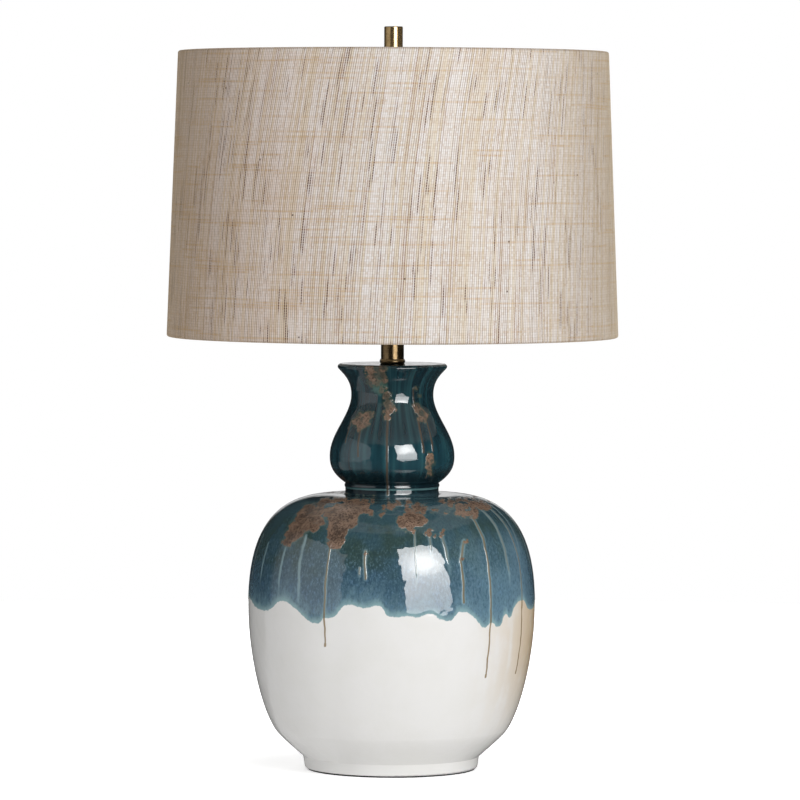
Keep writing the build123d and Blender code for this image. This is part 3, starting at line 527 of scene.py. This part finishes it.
def blue_glaze(graph, at, above):
    """Lower gourd: blue above its edge, then olive and darker, and lighter at the right."""
    body = graph.mix((above + at.mottle * 26.0).step(8, 42), BLUE_FOOT, BLUE_MIDDLE)
    body = graph.mix((above + at.cloud * 60.0).step(55, 95), body, BLUE_TOP)
    cobalt = (at.speckle * 0.6 + at.mottle * 0.4).step(0.5, 0.66) * at.height.step(240, 205)
    body = graph.mix(cobalt * 0.5, body, COBALT)
    olive = at.height.band(*OLIVE_Z) * (at.cloud + at.mottle * 0.4).step(0.6, 0.84)
    body = graph.mix(olive * 0.65, body, OLIVE)
    indigo = at.front.band(*INDIGO_AT) * at.height.step(192, 208)
    light = at.front.band(*LIGHT_AT) * at.height.step(246, 215) * (0.54 - indigo * 0.34)
    return graph.mix(light, body, BLUE_RIGHT)


def teal_glaze(graph, at, body, collar_dull_shade):
    """Upper gourd: dark teal with streaks, lighter round its belly, and painted shade darkest at its
    foot and on the collar's left.
    """
    streaky = (at.upper * 0.5 + 0.12) * at.facing_up.step(0.9, 0.6)
    body = graph.mix(at.upper, body, TEAL)
    body = graph.mix(at.height.band(*BELLY_Z) * 0.3, body, TEAL_BELLY)
    body = graph.mix(at.streak.step(0.46, 0.8) * streaky, body, STREAK_PALE)
    body = graph.mix(at.streak.step(0.5, 0.2) * streaky, body, STREAK_DARK)
    # Painted shade under the upper gourd's bulge and on the collar's left
    foot = at.upper * at.height.step(291, 282) * 0.55
    return graph.mix(foot.most(collar_dull_shade * 0.7), body, TEAL_SHADE)


def speckled(graph, at, body, above):
    """Adds light and dark specks, the blue glaze's pale edge and a painted highlight along the
    collar's crest.
    """
    pale = at.speckle.step(0.5, 0.66) * (at.height.step(238, 205) * 0.22 + 0.05) * at.lower
    body = graph.mix(pale, body, SPECK_PALE)
    body = graph.mix(at.speckle.step(0.49, 0.36) * at.lower * 0.36, body, SPECK_DARK)
    body = graph.mix((above + at.mottle * 5.0).step(11.0, 1.0) * 0.85, body, BLUE_EDGE)
    # Painted highlight along the collar's crest
    return graph.mix(at.height.band(*CREST_HIGHLIGHT_Z) * 0.6, body, CREST_HIGHLIGHT)


def ash(graph, at, inside, grit):
    """Brown ash with dark and pale grit, and a paler rim."""
    pale = at.mottle + at.cloud + at.x.step(-80, -45) * 0.2
    colour = graph.mix(pale.step(0.96, 1.32), ASH_DARK, ASH_PALE)
    colour = graph.mix(grit.step(0.5, 0.62) * 0.75, colour, GRIT_DARK)
    colour = graph.mix(grit.step(0.46, 0.32) * 0.6, colour, GRIT_PALE)
    return graph.mix(inside.step(2.4, 0.4) * 0.45, colour, ASH_RIM)


def glaze(graph):
    """White glaze under a blue-green one that ran down in lobes and drips, with patches of ash."""
    at = vessel(graph)
    edge_back, runs_back, spots_back = back_glaze()
    above = above_edge(graph, at, edge_back)
    blue = above.step(-0.3, 0.8)
    near, brown = all_runs(graph, at, runs_back)
    inside = ash_depth(graph, at, spots_back)
    patch = inside.step(-0.5, 0.5)
    # Collar's left side: less specular, and painted shade
    collar_dull_shade = at.height.band(*COLLAR_Z) * at.x.step(-6, -16)

    # Blue glaze over the white
    colour = white_glaze(graph, at)
    body = blue_glaze(graph, at, above)
    body = teal_glaze(graph, at, body, collar_dull_shade)
    body = speckled(graph, at, body, above)
    off_pool = graph.vector("DISTANCE", graph.join(at.x, at.height), POOL_AT, output=1)
    pool = (off_pool + at.ragged * 9.0).step(10.0, 4.0) * (1.0 - at.behind)
    body = graph.mix(pool * 0.7, body, POOL_GREEN)
    body = graph.mix(pool * at.mottle.step(0.52, 0.64) * 0.8, body, POOL_DARK)
    colour = graph.mix(blue, colour, body)

    # Runs, in a pale halo
    halo = near.step(2.7, 0.3) * blue * (1.0 - at.upper * 0.85)
    halo = halo * (at.cloud.step(0.3, 0.6) * 0.6 + 0.4)
    colour = graph.mix(halo * 0.66, colour, RUN_HALO)
    run = graph.mix(at.upper, graph.mix(blue, RUN_ON_WHITE, RUN_ON_BLUE), RUN_ON_TEAL)
    colour = graph.mix(brown * 0.9, colour, run)

    # Ash, thin over the pool and in places on the upper gourd
    glow = inside.step(-2.6, -0.2) * blue * 0.45
    colour = graph.mix(glow, colour, graph.mix(at.upper, GLOW_ON_BLUE, GLOW_ON_TEAL))
    grit = graph.noise(at.place, 0.55, 2.0, 0.65)
    thin = pool * 0.6 + at.upper * at.mottle.step(0.56, 0.42) * 0.6
    colour = graph.mix(patch * (0.95 - thin).most(0.0), colour, ash(graph, at, inside, grit))

    ripple = graph.noise(at.place, 0.02, 1.0)
    peel = graph.noise(at.place, 0.11, 1.0)
    relief = above.step(-1.0, 4.0) * 0.16 + brown * 0.3 + patch * (grit * 0.3 + 0.1)
    relief = relief + ripple * 0.35 + peel * 0.22
    return {
        "Base Color": colour,
        "Roughness": patch * 0.18 + 0.03,
        "Normal": graph.bump(relief, 1.0),
        "IOR": 1.72,
        "Specular IOR Level": 0.5 - collar_dull_shade * 0.38,
    }


# Cloth

PALE_THREAD, WARM_THREAD = linear(217, 213, 211), linear(209, 199, 183)
TAN_DRIFT, TAN_FLECK = linear(188, 160, 128), linear(176, 146, 110)
TAN_CLOUD = linear(174, 148, 114)
# Painted shade: a browner tint for the cloth's sides, a warmer one for its left
SIDE_SHADE_BROWN, LEFT_SHADE_WARM = linear(164, 129, 70), linear(252, 200, 165)
OCHRE_THREAD, OCHRE_BAND = linear(188, 146, 80), linear(186, 150, 100)
# Painted shade for the gaps between threads and along the rolled edges; the knots' own brown
GAP_SHADE_BROWN, KNOT_BROWN, EDGE_SHADE_BROWN = linear(114, 87, 55), linear(70, 50, 38), linear(132, 104, 78)
SLUB_BROWN, SLUB_DARK = linear(116, 70, 36), linear(74, 38, 18)


def raffia(graph):
    """Woven fabric: fine upright threads that lean, ochre ones across, clusters of dark slubs."""
    x, y, height = graph.split(graph.place())
    along = graph.math("ARCTAN2", x, y * -1.0) * SHADE_MEAN_R
    up = height - SHADE_BOTTOM_Z
    sway = graph.noise(graph.join(along / 110.0, up / 200.0), 1.0, 1.0) * 7.0
    lean = up * 0.03 + up * up * (0.075 / SHADE_HEIGHT)
    across = along - lean + sway

    thread = across / THREAD_PITCH
    index, part = thread.floor(), thread.fract()
    between = (thread + 0.5).floor()
    weft_sway = graph.noise(graph.join(along / 70.0, up / 40.0), 1.0, 1.0) * 3.0
    weft = (up + weft_sway) / WEFT_PITCH
    row, row_part = weft.floor(), weft.fract()
    ridge, cross = part.hump(), row_part.hump()
    over = graph.math("FLOORED_MODULO", index + row, 2.0)

    # Threads, each with its own tone
    tone = graph.random(index)
    drift = graph.noise(graph.join(index * 3.7, up / 22.0), 1.0, 2.0)
    cloud = graph.noise(graph.join(across / 50.0, up / 80.0), 1.0, 3.0, 0.6)
    bands = graph.noise(graph.join(along / 120.0, up / 6.0), 1.0, 2.0, 0.55)
    fleck = graph.random(index, row + 900.0)
    aside = x / SHADE_MEAN_R
    sides = (aside * aside).step(0.35, 1.0) * 0.2
    left = aside.step(-0.3, -1.0) * 0.15
    colour = graph.mix(tone.step(0.35, 1.0), PALE_THREAD, WARM_THREAD)
    colour = graph.mix(drift.step(0.45, 0.75) * 0.26, colour, TAN_DRIFT)
    colour = graph.mix(fleck.step(0.5, 1.0) * 0.3, colour, TAN_FLECK)
    # Tan clouds, stronger at the left as painted shade
    colour = graph.mix(cloud.step(0.45, 0.75) * (left * 1.2 + 0.18), colour, TAN_CLOUD)

    # Painted shade: browner towards either side, and browner and warmer at the left, where the cloth
    # turns from the light
    colour = graph.mix(sides + left, colour, SIDE_SHADE_BROWN)
    colour = graph.mix(aside.step(0.0, -0.7) * 0.13, colour, LEFT_SHADE_WARM)

    # Ochre cross threads in lengths
    length = along / (graph.random(row, 5.0) * 90.0 + 35.0) + graph.random(row, 7.0) * 9.0
    stretch = graph.random(row, length.floor())
    run_out = length.fract() * (1.0 - length.fract()) * 4.0
    ochre = stretch.step(0.76, 0.95) * cross.step(0.2, 0.9) * run_out.step(0.0, 0.8)
    colour = graph.mix(ochre * 0.37, colour, OCHRE_THREAD)
    colour = graph.mix(bands.step(0.5, 0.72) * 0.17, colour, OCHRE_BAND)

    # Painted shade in the gaps between threads and between rows
    gap_shade = ridge.step(0.9, 0.15) * (graph.random(between, 3.0) * 0.45 + 0.27)
    colour = graph.mix(gap_shade + cross.step(0.6, 0.0) * 0.16, colour, GAP_SHADE_BROWN)

    # Slubs: fine dark lengths between the threads, in clusters, broken where cross threads pass
    def slubs(length, share, seed):
        cluster = (between / 3.0).floor()
        cell = up / length + graph.random(between, seed) * 0.7 + graph.random(cluster, seed) * 17.0
        part_up = cell.fract()
        chance = graph.random(between + seed * 31.0, cell.floor())
        group = graph.random(cluster + seed * 11.0, cell.floor())
        size = graph.random(between + seed * 57.0, cell.floor()) * 0.85 + 0.1
        ends = part_up.step(0.0, 0.15) * (part_up - size).step(0.0, -0.2)
        fine = ridge.step(0.97, 0.6)
        broken = cross.step(0.2, 0.75) * 0.75 + 0.25
        chosen = group.step(1.0 - share, 1.01 - share) * chance.step(0.2, 0.9)
        return chosen * ends * fine * broken

    colour = graph.mix(slubs(150.0, 0.36, 1.0) * 0.5, colour, SLUB_BROWN)
    dark = slubs(55.0, 0.45, 2.0)
    colour = graph.mix(dark * 0.88, colour, SLUB_DARK)
    knots = graph.random(index, (up / 1.7).floor() + 500.0).step(0.9994, 0.9996) * ridge
    colour = graph.mix(knots * 0.9, colour, KNOT_BROWN)

    # Painted shade along the rolled edges
    edge_shade = up.step(EDGE_SHADE_W, 0.0).most(up.step(SHADE_HEIGHT - EDGE_SHADE_W, SHADE_HEIGHT))
    colour = graph.mix(edge_shade * 0.4, colour, EDGE_SHADE_BROWN)

    weave = ridge * 0.75 + (cross - ridge) * over * 0.4
    return {
        "Base Color": colour,
        "Roughness": 0.65,
        "Sheen Weight": 0.4,
        "Sheen Roughness": 0.4,
        "Sheen Tint": (0.9, 0.7, 0.4, 1.0),
        "Normal": graph.bump(weave + dark * 0.6 + knots, 0.3, 0.6),
    }


def felt(graph):
    """Dark pressed fibres."""
    fibre = graph.noise(graph.place(), 1.6, 4.0, 0.7)
    colour = graph.mix(fibre.step(0.3, 0.7), linear(34, 33, 34), linear(62, 60, 60))
    return {"Base Color": colour, "Roughness": 0.95, "Normal": graph.bump(fibre, 0.4, 0.8)}


# Metal, plastic, paper and glass


def brushed(base, dark, rough, metallic=1.0, marks=1.0):
    """Metal turned about Z: fine rings of brushing, cloudy tarnish and a varying polish."""
    def build(graph):
        place = graph.place()
        x, y, height = graph.split(place)
        rings = graph.noise(graph.join(x * 0.03, y * 0.03, height / BRUSH_PITCH), 1.0, 2.0, 0.6)
        tarnish = graph.noise(place, 0.18, 4.0, 0.65)
        colour = graph.mix(tarnish.step(0.42, 0.72) * 0.6, base, dark)
        colour = graph.mix(rings.step(0.55, 0.8) * 0.3, colour, dark)
        worn = rings * (0.16 * marks) + tarnish * (0.14 * marks)
        return {
            "Base Color": colour,
            "Metallic": metallic,
            "Roughness": worn + (rough - 0.15 * marks),
            "Normal": graph.bump(rings, 0.05, 0.35 * marks),
        }

    return build


def moulded(base, other, rough, grain=0.8):
    """Plastic, paper or paint: a fine skin and faint clouding."""
    def build(graph):
        place = graph.place()
        skin = graph.noise(place, grain, 3.0, 0.6)
        cloud = graph.noise(place, 0.06, 2.0)
        colour = graph.mix((skin * 0.5 + cloud * 0.5).step(0.35, 0.65), base, other)
        return {
            "Base Color": colour,
            "Roughness": skin * 0.12 + (rough - 0.06),
            "Normal": graph.bump(skin, 0.12, 0.4),
        }

    return build


def frosted(graph):
    """White powdered glass that lets a little light through."""
    powder = graph.noise(graph.place(), 1.2, 3.0, 0.6)
    colour = graph.mix(powder.step(0.3, 0.7), linear(240, 239, 234), linear(232, 231, 226))
    return {
        "Base Color": colour,
        "Roughness": powder * 0.1 + 0.32,
        "Transmission Weight": 0.25,
        "Normal": graph.bump(powder, 0.08, 0.4),
    }


# Meshes


def mesh_piece(name, points, faces):
    """Smooth piece from points in millimetres, with doubled points joined."""
    data = bpy.data.meshes.new(name)
    data.from_pydata([[c * MM for c in p] for p in points], [], faces)
    data.validate()
    shaped = bmesh.new()
    shaped.from_mesh(data)
    bmesh.ops.remove_doubles(shaped, verts=shaped.verts, dist=1e-6)
    bmesh.ops.recalc_face_normals(shaped, faces=shaped.faces)
    shaped.to_mesh(data)
    shaped.free()
    for face in data.polygons:
        face.use_smooth = True
    piece = bpy.data.objects.new(name, data)
    SCENE.collection.objects.link(piece)
    return piece


def turned(name, outline, steps, stir):
    """Closed ring of an outline in (radius, height) about Z; stir gives each radius a change."""
    points, faces, count = [], [], len(outline)
    for i in range(steps):
        angle = 2 * math.pi * i / steps
        for j, (radius, height) in enumerate(outline):
            radius += stir(angle, j, radius)
            points.append((radius * math.sin(angle), -radius * math.cos(angle), height))
    for i in range(steps):
        here, there = i * count, (i + 1) % steps * count
        for j in range(count):
            k = (j + 1) % count
            faces.append((here + j, there + j, there + k, here + k))
    return mesh_piece(name, points, faces)


def rolled(radius, height, start, end):
    """Points of a rolled edge round a centre in (radius, height), with angles in degrees."""
    angles = [start + (end - start) * i / (EDGE_POINTS - 1) for i in range(EDGE_POINTS)]
    return [
        (radius + EDGE_ROUND * math.cos(a * DEG), height + EDGE_ROUND * math.sin(a * DEG))
        for a in angles
    ]


def shade_radius(height, inset=0.0):
    """Radius of the shade's cone at a height, or of a cone inside it."""
    share = (height - SHADE_BOTTOM_Z) / SHADE_HEIGHT
    return SHADE_BOTTOM_R + (SHADE_TOP_R - SHADE_BOTTOM_R) * share - inset


def shade_piece():
    """Fabric cone, lapped at the back, whose edges roll over the wire rings to a hem inside."""
    low, high = SHADE_BOTTOM_Z + EDGE_ROUND, SHADE_TOP_Z - EDGE_ROUND
    low_hem, high_hem = SHADE_BOTTOM_R - HEM_W, SHADE_TOP_R - HEM_W
    heights = [low + (high - low) * i / SHADE_ROWS for i in range(1, SHADE_ROWS)]
    outline = [(low_hem, SHADE_BOTTOM_Z + FABRIC_T), (low_hem, SHADE_BOTTOM_Z)]
    outline += rolled(shade_radius(low, EDGE_ROUND), low, -90, 0)
    outline += [(shade_radius(z), z) for z in heights]
    outline += rolled(shade_radius(high, EDGE_ROUND), high, 0, 90)
    outline += [(high_hem, SHADE_TOP_Z), (high_hem, SHADE_TOP_Z - FABRIC_T)]
    outside = range(2, len(outline) - 2)
    low, high = SHADE_BOTTOM_Z + FABRIC_T, SHADE_TOP_Z - FABRIC_T
    outline += [(shade_radius(high, FABRIC_T), high), (shade_radius(low, FABRIC_T), low)]

    def lap(angle, j, radius):
        lapped = math.pi - LAP_W / radius < angle <= math.pi
        return LAP_T if j in outside and lapped else 0

    return turned("shade_cloth", outline, SHADE_STEPS, lap)


def felt_piece():
    """Felt disc with a soft, frayed cut edge."""
    _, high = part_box("felt_base_pad")
    radius, thick = high.x / MM, high.z / MM
    pick = random.Random(FELT_SEED)
    frays = [pick.uniform(-FELT_FRAY, FELT_FRAY) for _ in range(FELT_STEPS)]
    centre_low, centre_high = (0, 0), (0, thick)
    cut = [(radius - 0.5, 0), (radius, thick * 0.35), (radius - 0.2, thick)]

    def fray(angle, j, _):
        step = round(angle / (2 * math.pi) * FELT_STEPS) % FELT_STEPS
        return frays[step] if 1 <= j <= len(cut) else 0

    return turned("felt_pad", [centre_low, *cut, centre_high], FELT_STEPS, fray)


# Stage


def look(place, aim, roll=0.0):
    """Rotation of something that looks from one point to another."""
    turn = (Vector(aim) - Vector(place)).to_track_quat("-Z", "Y")
    return turn @ Quaternion((0, 0, 1), roll * DEG)


def add_camera():
    """Camera where the photograph's stood."""
    data = bpy.data.cameras.new("camera")
    data.lens = CAMERA_LENS
    data.sensor_width = CAMERA_SENSOR
    data.clip_start, data.clip_end = CAMERA_CLIP
    camera = bpy.data.objects.new("camera", data)
    camera.location = Vector(CAMERA_AT) * MM
    camera.rotation_mode = "QUATERNION"
    camera.rotation_quaternion = look(CAMERA_AT, CAMERA_AIM, CAMERA_ROLL)
    SCENE.collection.objects.link(camera)
    SCENE.camera = camera


def softbox(name, azimuth, distance, centre_z, width, height, glow,
            roll=0.0, hot=None, fade=False, mirrored=True):
    """Glowing panel that faces the lamp and the camera doesn't see.

    hot adds a bright middle over a dimmer foot, and fade dims the panel towards one side.
    """
    place = Vector((distance * math.sin(azimuth * DEG), -distance * math.cos(azimuth * DEG), centre_z))
    data = bpy.data.meshes.new(name)
    w, h = width / 2, height / 2
    data.from_pydata([(-w, -h, 0), (w, -h, 0), (w, h, 0), (-w, h, 0)], [], [(0, 1, 2, 3)])
    panel = bpy.data.objects.new(name, data)
    panel.location = place
    panel.rotation_mode = "QUATERNION"
    facing = look(place, (0, 0, centre_z)) @ Quaternion((0, 1, 0), math.pi)
    panel.rotation_quaternion = facing @ Quaternion((0, 0, 1), roll * DEG)
    SCENE.collection.objects.link(panel)
    panel.visible_camera = False
    panel.visible_glossy = mirrored

    finish = bpy.data.materials.new(name)
    finish.use_nodes = True
    graph = Graph(finish.node_tree)
    nodes = finish.node_tree.nodes
    nodes.remove(nodes["Principled BSDF"])
    coords = graph.read("TexCoord", "Object")
    along, up, _ = graph.split(coords)
    behind = graph.read("NewGeometry", "Backfacing")
    level = glow * (1.0 - behind)
    if hot:
        mirror = graph.read("LightPath", "Is Glossy Ray")
        edge = up.step(*HOT_EDGE)
        middle = graph.vector("DISTANCE", coords, HOT_AT, output=1).step(HOT_REACH, HOT_CORE)
        lit = (middle * hot + HOT_UPPER) * edge + up.step(-h, 0.0) * HOT_LOWER
        sheen = (up.step(-h, HOT_EDGE[0]) * SHEEN_RISE + SHEEN_FOOT) * (1.0 - edge) * mirror
        level = ((level + lit) * (mirror * (HOT_SHINE - 1.0) + 1.0) + sheen) * (1.0 - behind)
    if fade:
        level = level * (along.step(w, -0.3 * w) * 0.7 + 0.3) * along.step(w, 0.6 * w)
    emission = graph.node("Emission")
    graph.feed(emission.inputs["Strength"], level)
    graph.tree.links.new(emission.outputs[0], nodes["Material Output"].inputs["Surface"])
    data.materials.append(finish)


def floor_finish(graph):
    """White to the camera, dim in reflections, and lit at the fill light's side in them."""
    camera = graph.read("LightPath", "Is Camera Ray")
    mirror = graph.read("LightPath", "Is Glossy Ray")
    soft = graph.read("LightPath", "Is Diffuse Ray")
    spot = graph.read("TexCoord", "Object")
    away = graph.vector("LENGTH", spot, output=1)
    side = graph.vector("DOT_PRODUCT", spot, FILL_SIDE, output=1) / away
    seen = (away.step(0.1, 0.3) * (1.0 - FLOOR_BY_FOOT) + FLOOR_BY_FOOT) * camera
    return {
        "Base Color": graph.mix(mirror, FLOOR_GREY, FLOOR_GREY_MIRRORED),
        "Roughness": 0.9,
        "Specular IOR Level": 0.0,
        "Emission Color": (1, 1, 1, 1),
        "Emission Strength": seen + soft * FLOOR_BOUNCE + side.step(0.76, 0.8) * mirror * FLOOR_FILL,
    }


def add_floor():
    """Round floor that keeps the lamp's shadow close by."""
    data = bpy.data.meshes.new("floor")
    angles = [2 * math.pi * i / FLOOR_STEPS for i in range(FLOOR_STEPS)]
    ring = [(FLOOR_R * math.cos(a), FLOOR_R * math.sin(a), 0) for a in angles]
    data.from_pydata(ring, [], [tuple(range(FLOOR_STEPS))])
    data.materials.append(material("floor", floor_finish))
    floor = bpy.data.objects.new("floor", data)
    SCENE.collection.objects.link(floor)


def add_world():
    """White for the camera, a bright strip behind the lamp in reflections, a dim room elsewhere."""
    world = bpy.data.worlds.new("studio")
    world.use_nodes = True
    SCENE.world = world
    graph = Graph(world.node_tree)
    camera = graph.read("LightPath", "Is Camera Ray")
    mirror = graph.read("LightPath", "Is Glossy Ray")
    mirror = mirror.most(graph.read("LightPath", "Is Transmission Ray"))
    aside, away, rise = graph.split(graph.read("TexCoord", "Generated"))
    strip = (aside * aside).step(0.05, 0.012) * away.step(0.6, 0.9)
    backdrop = strip * rise.band(0.0, 0.04, 0.08, 0.2) * BACKDROP_MIRRORED + ROOM_MIRRORED
    level = (mirror * (backdrop - ROOM_LIGHT) + ROOM_LIGHT) * (1.0 - camera) + camera
    background = world.node_tree.nodes["Background"]
    graph.feed(background.inputs["Strength"], level)
    graph.feed(background.inputs["Color"], (1, 1, 1, 1))


# Everything in place

FINISHES = {
    "antique_brass": brushed((0.205, 0.14, 0.073, 1), (0.097, 0.064, 0.034, 1), 0.24),
    "harp_brass": brushed((0.55, 0.42, 0.22, 1), (0.33, 0.24, 0.12, 1), 0.36),
    "socket_brass": brushed((0.62, 0.47, 0.24, 1), (0.42, 0.30, 0.14, 1), 0.27),
    "zinc_steel": brushed((0.52, 0.52, 0.50, 1), (0.34, 0.34, 0.34, 1), 0.38),
    "bulb_metal": brushed((0.68, 0.68, 0.67, 1), (0.50, 0.50, 0.50, 1), 0.32),
    "black_plastic": moulded((0.012, 0.012, 0.013, 1), (0.022, 0.022, 0.024, 1), 0.42),
    "phenolic": moulded((0.016, 0.011, 0.009, 1), (0.032, 0.022, 0.016, 1), 0.38),
    "fibre_paper": moulded((0.028, 0.024, 0.02, 1), (0.05, 0.042, 0.034, 1), 0.8),
    "shade_lining": moulded((0.80, 0.79, 0.75, 1), (0.74, 0.72, 0.68, 1), 0.6, grain=0.5),
    "white_wire": moulded((0.78, 0.77, 0.74, 1), (0.70, 0.69, 0.66, 1), 0.35),
    "frosted_glass": frosted,
    "raffia_fabric": raffia,
    "felt": felt,
    "drip_glaze": glaze,
}
MATERIALS = {slot: material(slot, build) for slot, build in FINISHES.items()}
for part in frame["record"]["subparts"]:
    wear(NODES[part["node"]], MATERIALS[part["material_slot"]])

# Painted light: the finial gets a lighter, less metallic brass than the neck, standing in for light
# and reflections it doesn't catch
lightened_brass = brushed((0.46, 0.315, 0.145, 1), (0.27, 0.18, 0.075, 1), 0.15, metallic=0.8, marks=0.1)
wear(NODES["finial"], material("finial_brass_lightened", lightened_brass))

shade = shade_piece()
wear(shade, MATERIALS["raffia_fabric"])
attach(shade, "shade")
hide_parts("shade_fabric")

pad = felt_piece()
wear(pad, MATERIALS["felt"])
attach(pad, "lamp_base")
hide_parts("felt_base_pad")

add_camera()
add_world()
add_floor()
softbox("key_panel", KEY_AT, distance=1.8, centre_z=0.92, width=1.2, height=1.82, glow=1.85,
        roll=-8.0, hot=3.9)
softbox("fill_panel", FILL_AT, distance=1.7, centre_z=0.72, width=2.75, height=1.42, glow=0.72,
        fade=True)
softbox("back_panel", BACK_AT, distance=2.2, centre_z=0.75, width=1.2, height=1.4, glow=3.2,
        mirrored=False)

SCENE.view_settings.view_transform = "Standard"
